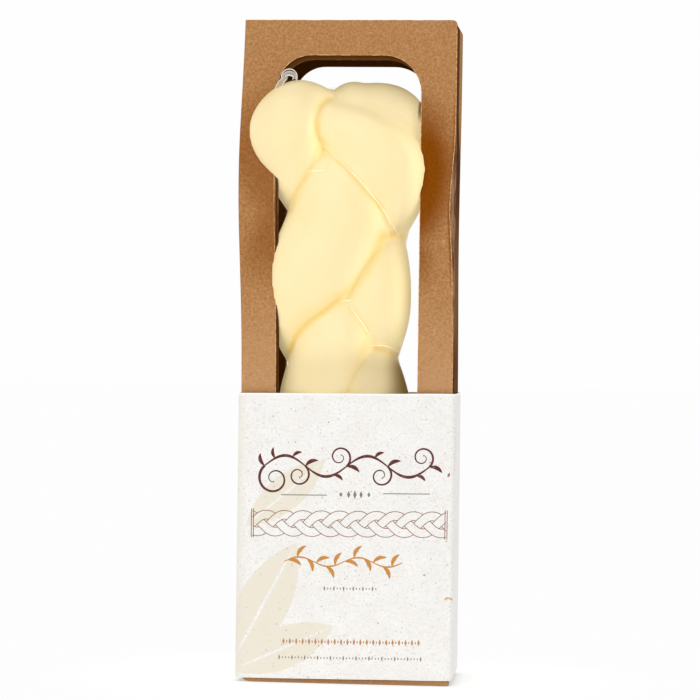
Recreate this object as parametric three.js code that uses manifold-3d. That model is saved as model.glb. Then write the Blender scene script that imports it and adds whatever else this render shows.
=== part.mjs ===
// A braided string cheese in clear film, standing in its folded kraft carton
// with a paper label band wrapped round the lower part.
// Millimetres. x runs to the right, y to the back and z up.

import * as THREE from 'three';
import { mergeVertices } from 'three/addons/utils/BufferGeometryUtils.js';
import Module from 'manifold-3d';

const wasm = await Module();
wasm.setup();

// ---- Driving dimensions ---------------------------------------------------------------------

// The carton: one strip of card wound once and a fifth, so its front is two layers thick.
const CARTON_WIDTH = 51.4;
const CARTON_DEPTH = 30;
const CARTON_HEIGHT = 160.5;
const CARD = 0.55;
const FOLD_RADIUS = 0.9;
const RAW_EDGE_OVERHANG = 0.6;
const RAW_CORNER_RADIUS = 1.1;
const BASE_CORNER_RADIUS = { left: 1.7, right: 0.5 };
const BACK_CORNER_RADIUS = 1.4;

// The lid, which is hinged on the back and tucked down behind the front.
const SLIT = 0.4;
const LID_DROP = 0.3;
const TUCK_DEPTH = 7;
const TUCK_NARROWING = 1;
const WALL_SLANT = { startsBehindFront: 2, dropAtStart: 0.2, dropOnTheWay: 0.4, turnsBeforeBack: 3 };

// The window, which is cut through the front and the back.
const WINDOW_WIDTH = 34.5;
const WINDOW_TOP = 152;
const WINDOW_BOTTOM = 61;
const WINDOW_RADIUS_LEFT = 7.8;
const WINDOW_RADIUS_RIGHT = 9.2;
// The inner layer's window is die-cut a little to the right of the outer one, and lower.
const LINING_SHIFT = { x: 0.7, z: -1.1 };

// How far the cheese pushes the left wall outwards, the raw edge of the front back, and the
// right wall inwards, and where each is greatest. The left push fades out to the right.
const LEFT_BOW = { reach: 1.66, height: 122, spread: 28.5, from: 6, to: -32 };
const RAW_BOW = { reach: 1.2, height: 116, spread: 11.5, from: 22.5, to: 25.7 };
const WALL_BOW = { reach: 0.36, height: 108, spread: 28, from: 10, to: 25 };

// The paper band, and the room between it and the card.
const LABEL_BOTTOM = 1.2;
const LABEL_TOP = 70.2;
const PAPER = 0.35;
const LABEL_GAP = 0.35;
const LABEL_CROWN = 0.5;
const RAW_FOLD_RADIUS = 0.3;

// The room that the cheese keeps from the card all round.
const CHEESE_GAP = 0.3;

// The three strands. Each station is [x, y, z] of the strand's centre, then half its width
// across the braid and half its depth.
const STRANDS = {
  left_start: [
    [-6.4, -9.3, 138.9, 5.0, 6.6],
    [-12.7, -12.4, 138.5, 7.5, 8.9],
    [-15.3, -12.5, 133.9, 9.3, 9.4],
    [-13.7, -9.5, 127.2, 8.0, 8.7],
    [-10.1, -5.0, 120.4, 8.0, 8.8],
    [-4.0, 0.5, 113.2, 9.2, 8.5],
    [2.2, -0.2, 107.4, 9.1, 8.3],
    [5.8, -7.2, 99.7, 8.3, 9.0],
    [5.5, -8.0, 91.0, 8.9, 8.9],
    [3.3, -1.9, 83.4, 8.7, 8.6],
    [-3.4, 5.1, 69.9, 8.8, 8.5],
    [-8.3, 2.4, 53.0, 9.0, 8.5],
    [-8.4, -4.6, 37.0, 9.4, 8.8],
    [0.5, -5.0, 22.0, 9.8, 8.6],
    [5.6, -3.0, 9.1, 9.4, 8.8],
  ],
  right_start: [
    [-0.2, -7.8, 138.7, 7.4, 9.7],
    [8.4, -5.6, 135.2, 10.0, 9.8],
    [7.1, -3.8, 128.2, 10.0, 9.8],
    [-1.4, -8.2, 120.8, 11.3, 10.3],
    [-3.5, -9.5, 109.9, 12.5, 10.2],
    [-7.7, -10.5, 99.8, 11.9, 9.9],
    [-9.5, -7.0, 89.1, 10.0, 9.5],
    [-6.5, 0.8, 81.0, 9.2, 8.6],
    [0.1, 1.1, 78.0, 8.7, 9.0],
    [3.9, -5.3, 74.5, 8.3, 9.6],
    [6.5, -5.1, 62.9, 8.6, 9.3],
    [3.0, 4.6, 45.0, 9.2, 8.6],
    [-5.0, 5.4, 30.0, 9.2, 8.6],
    [-8.0, 3.0, 9.8, 9.8, 9.2],
  ],
  middle_start: [
    [-4.9, -12.4, 136.1, 5.2, 7.3],
    [1.7, -13.4, 132.3, 7.2, 9.0],
    [9.4, -12.6, 125.7, 8.8, 9.5],
    [11.6, -8.9, 119.6, 5.8, 9.0],
    [7.8, -1.5, 112.0, 5.6, 8.7],
    [3.6, 2.6, 104.5, 8.2, 8.5],
    [-1.2, -4.8, 95.8, 8.9, 8.8],
    [-3.0, -9.3, 85.2, 9.4, 9.2],
    [-5.5, -7.4, 74.6, 10.1, 9.1],
    [-7.5, -4.9, 66.0, 9.8, 9.1],
    [-1.7, 4.3, 51.5, 9.5, 8.4],
    [7.0, 0.0, 36.0, 9.6, 9.0],
    [4.5, 4.8, 20.0, 9.6, 8.6],
    [0.0, 4.8, 8.7, 9.2, 8.8],
  ],
};
const STRAND_RINGS = 56;
const STRAND_SIDES = 18;
const STRAND_SQUARENESS = 2.3;
const RING_GATHERING = 0.1;
// A rounded end's length, as a share of the strand's half width there.
const STRAND_END = 0.9;

// The curl of spare film at the top left: a ring that runs out into a short tail.
const CURL = { x: -14.6, y: -17.6, z: 147, radius: 2.1, hole: 0.9, thickness: 1.2 };
const CURL_TAIL = { out: 1.6, elbow: 3, length: 6.5 };

// How many bands the tall walls are cut into, so that they can be bowed.
const WALL_BANDS = 18;
const LABEL_BANDS = 4;
// How far a cutting tool runs past the faces that it cuts.
const CLEAR = 1;
const QUARTER_TURN = Math.PI / 2;

// ---- Solids ---------------------------------------------------------------------------------

function solidOf(geometry) {
  const bare = geometry.clone();
  bare.deleteAttribute('normal');
  bare.deleteAttribute('uv');
  const merged = mergeVertices(bare, 1e-4);
  const mesh = new wasm.Mesh({
    numProp: 3,
    vertProperties: new Float32Array(merged.attributes.position.array),
    triVerts: new Uint32Array(merged.index.array),
  });
  return new wasm.Manifold(mesh);
}

function geometryOf(solid) {
  const mesh = solid.getMesh();
  const geometry = new THREE.BufferGeometry();
  geometry.setAttribute('position', new THREE.BufferAttribute(mesh.vertProperties, 3));
  geometry.setIndex(new THREE.BufferAttribute(mesh.triVerts, 1));
  geometry.computeVertexNormals();
  return geometry;
}

function bent(geometry, bend) {
  const position = geometry.attributes.position;
  const point = new THREE.Vector3();
  for (let i = 0; i < position.count; i += 1) {
    point.fromBufferAttribute(position, i);
    bend(point);
    position.setXYZ(i, point.x, point.y, point.z);
  }
  return geometry;
}

// A shape drawn in x and z, made a slab that runs from one depth to the other.
function standingSlab(shape, yFrom, yTo) {
  const slab = new THREE.ExtrudeGeometry(shape, { depth: yTo - yFrom, bevelEnabled: false });
  slab.rotateX(QUARTER_TURN);
  slab.translate(0, yTo, 0);
  return slab;
}

// ---- Carton ---------------------------------------------------------------------------------

const FRONT = -CARTON_DEPTH / 2;
const BACK = CARTON_DEPTH / 2;
const LEFT = -CARTON_WIDTH / 2;
const RAW_EDGE = CARTON_WIDTH / 2;
const RIGHT_WALL = RAW_EDGE - RAW_EDGE_OVERHANG;

function pushed(point, bow) {
  const across = THREE.MathUtils.clamp((point.x - bow.from) / (bow.to - bow.from), 0, 1);
  const share = across * across * (3 - 2 * across);
  return share * bow.reach * Math.exp(-(((point.z - bow.height) / bow.spread) ** 2));
}

// The cheese leans on the front, which moves to the left. The outer rim of the raw edge is
// crushed back, and the right wall leans in at the back.
function bowCarton(point) {
  const towardFront = THREE.MathUtils.clamp((BACK - point.y) / CARTON_DEPTH, 0, 1);
  const onOuterFace = point.y < FRONT + CARD / 2;
  const push = pushed(point, LEFT_BOW) * towardFront
    + pushed(point, RAW_BOW) * (onOuterFace ? 1 : 0)
    + pushed(point, WALL_BOW) * (1 - towardFront);
  point.x -= push;
}

// The wound strip seen from above: outer panel, left wall, back, right wall and the inner
// panel, whose fold stays just behind the outer panel's raw edge.
function cartonPlan() {
  const r = FOLD_RADIUS;
  const lining = FRONT + CARD;
  // The fold starts a little round its arc, which leaves a blunt notch behind the raw edge.
  const notchAngle = 0.76 * QUARTER_TURN;
  const plan = new THREE.Shape();
  plan.moveTo(RAW_EDGE, FRONT);
  plan.lineTo(RAW_EDGE, lining);
  plan.lineTo(RIGHT_WALL - r * Math.cos(notchAngle), lining);
  plan.absarc(RIGHT_WALL - r, lining + r, r, -notchAngle, 0, false);
  plan.absarc(RIGHT_WALL - r, BACK - r, r, 0, QUARTER_TURN, false);
  plan.absarc(LEFT + r, BACK - r, r, QUARTER_TURN, 2 * QUARTER_TURN, false);
  plan.absarc(LEFT + r, FRONT + r, r, 2 * QUARTER_TURN, 3 * QUARTER_TURN, false);
  plan.closePath();
  return plan;
}

function rectanglePlan(left, right, front, back) {
  const plan = new THREE.Shape();
  plan.moveTo(left, front);
  plan.lineTo(right, front);
  plan.lineTo(right, back);
  plan.lineTo(left, back);
  plan.closePath();
  return plan;
}

// The space inside the walls, less a margin all round.
function hollowPlan(margin) {
  return rectanglePlan(
    LEFT + CARD + margin,
    RIGHT_WALL - CARD - margin,
    FRONT + 2 * CARD + margin,
    BACK - CARD - margin,
  );
}

function uprightPrism(plan, zFrom, zTo, steps) {
  const prism = new THREE.ExtrudeGeometry(plan, {
    depth: zTo - zFrom,
    steps,
    curveSegments: 3,
    bevelEnabled: false,
  });
  prism.translate(0, 0, zFrom);
  return prism;
}

// A window outline with many points down its long sides, so that it can be bowed.
function windowShape(halfWidth, bottom, top, radiusLeft, radiusRight) {
  const cornerSteps = 8;
  const sideSteps = 12;
  const points = [];
  const corner = (x, z, radius, start) => {
    for (let i = 0; i <= cornerSteps; i += 1) {
      const angle = start + (i / cornerSteps) * QUARTER_TURN;
      points.push(new THREE.Vector2(x + radius * Math.cos(angle), z + radius * Math.sin(angle)));
    }
  };
  const side = (x, zFrom, zTo) => {
    for (let i = 1; i < sideSteps; i += 1) {
      points.push(new THREE.Vector2(x, THREE.MathUtils.lerp(zFrom, zTo, i / sideSteps)));
    }
  };
  corner(halfWidth - radiusRight, top - radiusRight, radiusRight, 0);
  corner(radiusLeft - halfWidth, top - radiusLeft, radiusLeft, QUARTER_TURN);
  side(-halfWidth, top - radiusLeft, bottom + radiusLeft);
  corner(radiusLeft - halfWidth, bottom + radiusLeft, radiusLeft, 2 * QUARTER_TURN);
  corner(halfWidth - radiusRight, bottom + radiusRight, radiusRight, 3 * QUARTER_TURN);
  side(halfWidth, bottom + radiusRight, top - radiusRight);
  return new THREE.Shape(points);
}

function windowCutter(grow, yFrom, yTo, shift = { x: 0, z: 0 }) {
  const shape = windowShape(
    WINDOW_WIDTH / 2 + grow,
    WINDOW_BOTTOM - grow,
    WINDOW_TOP + grow,
    WINDOW_RADIUS_LEFT + grow,
    WINDOW_RADIUS_RIGHT + grow,
  );
  const slab = standingSlab(shape, yFrom, yTo);
  slab.translate(shift.x, 0, shift.z);
  return solidOf(bent(slab, bowCarton));
}

// What is cut away to round one corner of a panel; toX and toZ point out of the corner.
function cornerCutter(x, z, toX, toZ, r, yFrom, yTo) {
  const steps = 4;
  const shape = new THREE.Shape();
  shape.moveTo(x + toX * CLEAR, z + toZ * CLEAR);
  shape.lineTo(x - toX * r, z + toZ * CLEAR);
  for (let i = 0; i <= steps; i += 1) {
    const angle = (i / steps) * QUARTER_TURN;
    shape.lineTo(x - toX * r * (1 - Math.sin(angle)), z - toZ * r * (1 - Math.cos(angle)));
  }
  shape.lineTo(x + toX * CLEAR, z - toZ * r);
  shape.closePath();
  return solidOf(standingSlab(shape, yFrom, yTo));
}

// The right wall's top edge slants down to the back.
function slantCutter() {
  const { startsBehindFront, dropAtStart, dropOnTheWay, turnsBeforeBack } = WALL_SLANT;
  const slant = new THREE.Shape();
  slant.moveTo(FRONT + startsBehindFront, CARTON_HEIGHT + CLEAR);
  slant.lineTo(FRONT + startsBehindFront, CARTON_HEIGHT - dropAtStart);
  slant.quadraticCurveTo(
    BACK - turnsBeforeBack,
    CARTON_HEIGHT - dropOnTheWay,
    BACK + CLEAR,
    CARTON_HEIGHT - BACK_CORNER_RADIUS,
  );
  slant.lineTo(BACK + CLEAR, CARTON_HEIGHT + CLEAR);
  slant.closePath();
  const wedge = new THREE.ExtrudeGeometry(slant, {
    depth: CARD + SLIT + 2 * CLEAR,
    curveSegments: 5,
    bevelEnabled: false,
  });
  wedge.rotateX(QUARTER_TURN);
  wedge.rotateZ(QUARTER_TURN);
  wedge.translate(RIGHT_WALL - CARD - SLIT / 2, 0, 0);
  return solidOf(wedge);
}

function boxSolid(xFrom, xTo, yFrom, yTo, zFrom, zTo) {
  const block = new THREE.BoxGeometry(xTo - xFrom, yTo - yFrom, zTo - zFrom);
  block.translate((xFrom + xTo) / 2, (yFrom + yTo) / 2, (zFrom + zTo) / 2);
  return solidOf(block);
}

// The lid closes the top between the walls, and its tuck flap hides behind the front.
function lidSolid() {
  const left = LEFT + CARD + SLIT;
  const right = RIGHT_WALL - CARD - SLIT;
  const front = FRONT + 2 * CARD + SLIT;
  const top = CARTON_HEIGHT - LID_DROP;
  const inset = TUCK_NARROWING;
  const lid = boxSolid(left, right, front, BACK - CARD / 2, top - CARD, top);
  const tuck = boxSolid(left + inset, right - inset, front, front + CARD, top - TUCK_DEPTH, top - CARD / 2);
  return lid.add(tuck);
}

function cartonSolid() {
  const wound = solidOf(bent(uprightPrism(cartonPlan(), 0, CARTON_HEIGHT, WALL_BANDS), bowCarton));
  const hollow = uprightPrism(hollowPlan(0), CARD, CARTON_HEIGHT + CLEAR, WALL_BANDS);
  const frontClear = FRONT - CLEAR;
  const backClear = BACK + CLEAR;
  const cuts = [
    solidOf(bent(hollow, bowCarton)),
    windowCutter(0, frontClear, FRONT + CARD),
    windowCutter(0, FRONT + CARD / 2, FRONT + 2 * CARD + CLEAR, LINING_SHIFT),
    windowCutter(0, BACK - CARD - CLEAR, backClear),
    cornerCutter(RAW_EDGE, CARTON_HEIGHT, 1, 1, RAW_CORNER_RADIUS, frontClear, FRONT + CARD),
    cornerCutter(RIGHT_WALL, CARTON_HEIGHT, 1, 1, BACK_CORNER_RADIUS, BACK - CARD, backClear),
    cornerCutter(RAW_EDGE, 0, 1, -1, BASE_CORNER_RADIUS.right, frontClear, backClear),
    cornerCutter(LEFT, 0, -1, -1, BASE_CORNER_RADIUS.left, frontClear, backClear),
    slantCutter(),
  ];
  let carton = wound;
  for (const cut of cuts) {
    carton = carton.subtract(cut);
  }
  return carton.add(lidSolid());
}

// ---- Label ----------------------------------------------------------------------------------

// The band's outline from above, with a front and a back that crown a little.
function bandPlan(offset) {
  const halfWidth = CARTON_WIDTH / 2 + offset;
  const halfDepth = CARTON_DEPTH / 2 + offset;
  const rightWall = RIGHT_WALL + offset;
  const r = FOLD_RADIUS + offset;
  const tight = RAW_FOLD_RADIUS + offset;
  const plan = new THREE.Shape();
  plan.moveTo(halfWidth, tight - halfDepth);
  plan.absarc(rightWall - r, halfDepth - r, r, 0, QUARTER_TURN, false);
  plan.quadraticCurveTo(0, halfDepth + 2 * LABEL_CROWN, r - halfWidth, halfDepth);
  plan.absarc(r - halfWidth, halfDepth - r, r, QUARTER_TURN, 2 * QUARTER_TURN, false);
  plan.absarc(r - halfWidth, r - halfDepth, r, 2 * QUARTER_TURN, 3 * QUARTER_TURN, false);
  plan.quadraticCurveTo(0, -halfDepth - 2 * LABEL_CROWN, halfWidth - tight, -halfDepth);
  plan.absarc(halfWidth - tight, tight - halfDepth, tight, -QUARTER_TURN, 0, false);
  plan.closePath();
  return plan;
}

function labelSolid() {
  const outside = bandPlan(LABEL_GAP + PAPER);
  const outer = uprightPrism(outside, LABEL_BOTTOM, LABEL_TOP, LABEL_BANDS);
  const inside = bandPlan(LABEL_GAP);
  const inner = uprightPrism(inside, LABEL_BOTTOM - CLEAR, LABEL_TOP + CLEAR, LABEL_BANDS);
  return solidOf(bent(outer, bowCarton)).subtract(solidOf(bent(inner, bowCarton)));
}

// ---- Cheese ---------------------------------------------------------------------------------

// The strands are pressed together, so their ovals are a little squarer than an ellipse.
function fullness(value) {
  return Math.sign(value) * Math.abs(value) ** (2 / STRAND_SQUARENESS);
}

// One strand: an oval section carried along a smooth curve through its stations, with round ends.
function strandGeometry(stations) {
  const centres = new THREE.CatmullRomCurve3(stations.map((s) => new THREE.Vector3(s[0], s[1], s[2])));
  const sizes = new THREE.CatmullRomCurve3(stations.map((s) => new THREE.Vector3(s[3], s[4], 0)));
  const length = centres.getLength();
  const firstEnd = (STRAND_END * stations[0][3]) / length;
  const lastEnd = (STRAND_END * stations[stations.length - 1][3]) / length;
  const positions = [];
  const depthward = new THREE.Vector3(0, 1, 0);
  for (let ring = 0; ring <= STRAND_RINGS; ring += 1) {
    // Rings gather towards the two ends, where the strand rounds off.
    const even = ring / STRAND_RINGS;
    const along = even - RING_GATHERING * Math.sin(2 * Math.PI * even) / (2 * Math.PI);
    const reach = THREE.MathUtils.lerp(-firstEnd, 1 + lastEnd, along);
    const u = THREE.MathUtils.clamp(reach, 0, 1);
    const t = centres.getUtoTmapping(u);
    const tangent = centres.getTangent(t);
    const centre = centres.getPoint(t).addScaledVector(tangent, (reach - u) * length);
    const size = sizes.getPoint(t);
    const past = reach < 0 ? -reach / firstEnd : Math.max(0, reach - 1) / lastEnd;
    const narrowing = Math.sqrt(Math.max(0, 1 - past ** 2));
    const deep = depthward.clone().addScaledVector(tangent, -depthward.dot(tangent)).normalize();
    const wide = new THREE.Vector3().crossVectors(deep, tangent).normalize();
    const sides = ring === 0 || ring === STRAND_RINGS ? 1 : STRAND_SIDES;
    for (let side = 0; side < sides; side += 1) {
      const angle = (2 * Math.PI * side) / STRAND_SIDES;
      const vertex = centre.clone();
      if (sides > 1) {
        vertex.addScaledVector(wide, size.x * narrowing * fullness(Math.cos(angle)));
        vertex.addScaledVector(deep, size.y * narrowing * fullness(Math.sin(angle)));
      }
      positions.push(vertex.x, vertex.y, vertex.z);
    }
  }
  const geometry = new THREE.BufferGeometry();
  geometry.setAttribute('position', new THREE.Float32BufferAttribute(positions, 3));
  geometry.setIndex(strandFaces());
  return geometry;
}

// Rings of equal count between two single end points.
function strandFaces() {
  const faces = [];
  const last = 1 + (STRAND_RINGS - 1) * STRAND_SIDES;
  for (let side = 0; side < STRAND_SIDES; side += 1) {
    const next = (side + 1) % STRAND_SIDES;
    faces.push(0, 1 + next, 1 + side);
    for (let ring = 0; ring < STRAND_RINGS - 2; ring += 1) {
      const here = 1 + ring * STRAND_SIDES;
      const there = here + STRAND_SIDES;
      faces.push(here + side, here + next, there + side);
      faces.push(here + next, there + next, there + side);
    }
    const top = last - STRAND_SIDES;
    faces.push(last, top + side, top + next);
  }
  return faces;
}

// The room that the card takes up, a little larger than the card all round.
function cardRoom() {
  const gap = CHEESE_GAP;
  const outside = rectanglePlan(LEFT - gap, RAW_EDGE + gap, FRONT - gap, BACK + gap);
  const block = uprightPrism(outside, -CLEAR, CARTON_HEIGHT + CLEAR, WALL_BANDS);
  const hollow = uprightPrism(hollowPlan(gap), CARD + gap, CARTON_HEIGHT + 2 * CLEAR, WALL_BANDS);
  const frontClear = FRONT - gap - CLEAR;
  const liningClear = FRONT + 2 * CARD + gap + CLEAR;
  const outerWindow = windowCutter(-gap, frontClear, liningClear);
  const innerWindow = windowCutter(-gap, frontClear, liningClear, LINING_SHIFT);
  const backWindow = windowCutter(-gap, BACK - CARD - gap - CLEAR, BACK + gap + CLEAR);
  return solidOf(bent(block, bowCarton))
    .subtract(solidOf(bent(hollow, bowCarton)))
    .subtract(outerWindow.intersect(innerWindow))
    .subtract(backWindow);
}

function curlSolid() {
  const { x, y, z, radius, hole, thickness } = CURL;
  const ring = new THREE.Shape();
  ring.absarc(x, z, radius, 0, 2 * Math.PI, false);
  const eye = new THREE.Path();
  eye.absarc(x, z, hole, 0, 2 * Math.PI, true);
  ring.holes.push(eye);
  // The tail leaves the ring's left side and ends behind its lower right.
  const tail = new THREE.Shape();
  tail.moveTo(x - radius, z);
  tail.lineTo(x - radius - CURL_TAIL.out, z - CURL_TAIL.elbow);
  tail.lineTo(x - radius, z - CURL_TAIL.length);
  tail.lineTo(x + radius, z - CURL_TAIL.length + CURL_TAIL.out);
  tail.lineTo(x, z - (hole + radius) / 2);
  tail.closePath();
  const from = y - thickness / 2;
  const to = y + thickness / 2;
  return solidOf(standingSlab(ring, from, to)).add(solidOf(standingSlab(tail, from, to)));
}

function cheeseSolid() {
  let cheese = curlSolid();
  for (const stations of Object.values(STRANDS)) {
    cheese = cheese.add(solidOf(strandGeometry(stations)));
  }
  return largestBody(cheese.subtract(cardRoom()));
}

// Drops the loose scraps that a cut can leave.
function largestBody(solid) {
  const bodies = solid.decompose();
  return bodies.reduce((most, body) => (body.volume() > most.volume() ? body : most));
}

// ---- The whole ------------------------------------------------------------------------------

function piece(name, solid, color, roughness) {
  const material = new THREE.MeshStandardMaterial({ color, roughness, metalness: 0 });
  const mesh = new THREE.Mesh(geometryOf(solid), material);
  mesh.name = name;
  return mesh;
}

const group = new THREE.Group();
group.add(piece('carton', cartonSolid(), 0xb48555, 0.9));
group.add(piece('label', labelSolid(), 0xf4f0ec, 0.85));
group.add(piece('cheese', cheeseSolid(), 0xfeeab8, 0.4));

// The origin is on the ground, in the middle of the whole object's box.
const box = new THREE.Box3().setFromObject(group);
group.position.set(-(box.min.x + box.max.x) / 2, -(box.min.y + box.max.y) / 2, -box.min.z);

export default group;
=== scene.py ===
"""A braided string cheese in clear film, standing in a kraft carton with a paper label band."""

import math
import random

import bmesh
import bpy
from mathutils import Matrix, Vector, noise
from mathutils.bvhtree import BVHTree
from mathutils.kdtree import KDTree


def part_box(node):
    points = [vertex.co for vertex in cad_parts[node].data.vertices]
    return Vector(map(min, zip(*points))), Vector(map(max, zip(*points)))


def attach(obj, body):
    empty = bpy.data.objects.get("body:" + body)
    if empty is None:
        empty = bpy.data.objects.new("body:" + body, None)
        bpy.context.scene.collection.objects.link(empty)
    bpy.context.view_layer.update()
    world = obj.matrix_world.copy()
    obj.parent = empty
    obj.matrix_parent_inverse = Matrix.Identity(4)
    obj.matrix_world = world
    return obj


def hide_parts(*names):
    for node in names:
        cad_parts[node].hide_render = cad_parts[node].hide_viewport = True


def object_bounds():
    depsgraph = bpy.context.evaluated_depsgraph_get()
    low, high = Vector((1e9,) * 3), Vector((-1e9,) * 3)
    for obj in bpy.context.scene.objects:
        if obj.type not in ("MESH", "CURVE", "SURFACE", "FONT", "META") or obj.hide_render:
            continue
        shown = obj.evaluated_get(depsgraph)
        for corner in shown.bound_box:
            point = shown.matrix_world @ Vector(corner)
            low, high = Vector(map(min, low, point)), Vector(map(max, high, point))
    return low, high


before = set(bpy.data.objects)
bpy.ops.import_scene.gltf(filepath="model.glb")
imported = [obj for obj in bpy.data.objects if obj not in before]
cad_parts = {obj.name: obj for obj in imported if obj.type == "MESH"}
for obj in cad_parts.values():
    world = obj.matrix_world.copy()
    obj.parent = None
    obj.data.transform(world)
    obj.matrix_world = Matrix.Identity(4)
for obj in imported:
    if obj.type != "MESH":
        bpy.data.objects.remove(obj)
cad_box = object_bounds()

# ---- Camera, floor and light ----------------------------------------------------------------
# A long lens a little to the right of straight ahead, level with the middle of the carton.
# The floor is plain white studio board. Light comes from a soft box at the upper left, in front,
# and from a white room that is a little darker at the front.

MM = 0.001
HALF_WIDTH = 25.7
HALF_DEPTH = 15.0
AIM = Vector((-0.85, 0.0, 80.7))
CAMERA_AWAY = 720.0
CAMERA_BEARING = 6.0
CAMERA_ROLL = 0.77
carton_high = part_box("carton")[1] / MM
carton_middle = Vector((carton_high.x - HALF_WIDTH, carton_high.y - HALF_DEPTH, 0.0))
scene = bpy.context.scene
scene.view_settings.view_transform = "Standard"

camera_data = bpy.data.cameras.new("camera")
camera_data.lens = 150.0
camera_data.sensor_width = 36.0
camera = bpy.data.objects.new("camera", camera_data)
scene.collection.objects.link(camera)
aim = (carton_middle + AIM) * MM
bearing = math.radians(CAMERA_BEARING)
camera.location = aim + CAMERA_AWAY * MM * Vector((math.sin(bearing), -math.cos(bearing), 0.0))
level = (aim - camera.location).to_track_quat("-Z", "Y").to_matrix()
camera.rotation_euler = (level @ Matrix.Rotation(math.radians(CAMERA_ROLL), 3, "Z")).to_euler()
scene.camera = camera

soft_box_data = bpy.data.lights.new("soft_box", "AREA")
soft_box_data.size = 0.9
soft_box_data.energy = 6.0
soft_box_data.color = (1.0, 0.985, 0.965)
soft_box = bpy.data.objects.new("soft_box", soft_box_data)
soft_box.location = (-0.35, -1.35, 0.7)
soft_box.rotation_euler = (aim - soft_box.location).to_track_quat("-Z", "Y").to_euler()
scene.collection.objects.link(soft_box)

world = bpy.data.worlds.new("white_room")
scene.world = world
world.use_nodes = True
room = world.node_tree
FRONT_OF_ROOM = (0.15, -0.98, -0.1)
BACK_LEVEL = 0.99
FRONT_LEVEL = 0.72
way_out = room.nodes.new("ShaderNodeTexCoord").outputs["Generated"]
toward_front = room.nodes.new("ShaderNodeVectorMath")
toward_front.operation = "DOT_PRODUCT"
toward_front.inputs[1].default_value = FRONT_OF_ROOM
room.links.new(way_out, toward_front.inputs[0])
dimmer = room.nodes.new("ShaderNodeMapRange")
dimmer.interpolation_type = "SMOOTHSTEP"
for socket, value in zip(dimmer.inputs[1:5], (-0.7, 0.6, BACK_LEVEL, FRONT_LEVEL)):
    socket.default_value = value
room.links.new(toward_front.outputs["Value"], dimmer.inputs[0])
room.links.new(dimmer.outputs[0], room.nodes["Background"].inputs["Strength"])
room.nodes["Background"].inputs["Color"].default_value = (1.0, 1.0, 1.0, 1.0)


def finished(bm, name, materials, smooth_below=35.0):
    """The bmesh as an object at the origin, smooth over the edges that turn less than the angle."""
    limit = math.radians(smooth_below)
    for edge in bm.edges:
        edge.smooth = len(edge.link_faces) == 2 and edge.calc_face_angle(0.0) < limit
    for face in bm.faces:
        face.smooth = True
    mesh = bpy.data.meshes.new(name)
    bm.to_mesh(mesh)
    bm.free()
    for material in materials:
        mesh.materials.append(material)
    piece = bpy.data.objects.new(name, mesh)
    scene.collection.objects.link(piece)
    return piece


class Wire:
    """One output in a material, which Python's arithmetic adds Math nodes to."""

    def __init__(self, socket):
        self.socket = socket

    def math(self, operation, first, second):
        nodes = self.socket.id_data.nodes
        step = nodes.new("ShaderNodeMath")
        step.operation = operation
        for slot, value in zip(step.inputs, (first, second)):
            plug(slot, value)
        return Wire(step.outputs[0])

    def __add__(self, other):
        return self.math("ADD", self, other)

    def __sub__(self, other):
        return self.math("SUBTRACT", self, other)

    def __mul__(self, other):
        return self.math("MULTIPLY", self, other)

    def __pow__(self, other):
        return self.math("POWER", self, other)

    def __rsub__(self, other):
        return self.math("SUBTRACT", other, self)

    def __lt__(self, other):
        return self.math("LESS_THAN", self, other)

    __radd__ = __add__
    __rmul__ = __mul__

    def least(self, other):
        return self.math("MINIMUM", self, other)

    def most(self, other):
        return self.math("MAXIMUM", self, other)

    def size(self):
        return self.math("ABSOLUTE", self, 0.0)

    def other(self, output):
        """Another output of the same node."""
        return Wire(self.socket.node.outputs[output])


def plug(slot, value):
    """Links a wire into a socket, or sets the socket to a plain value."""
    if isinstance(value, Wire):
        slot.id_data.links.new(value.socket, slot)
    elif isinstance(value, (tuple, list)) and len(value) == 3 and len(slot.default_value) == 4:
        slot.default_value = (*value, 1.0)
    else:
        slot.default_value = value


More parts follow.
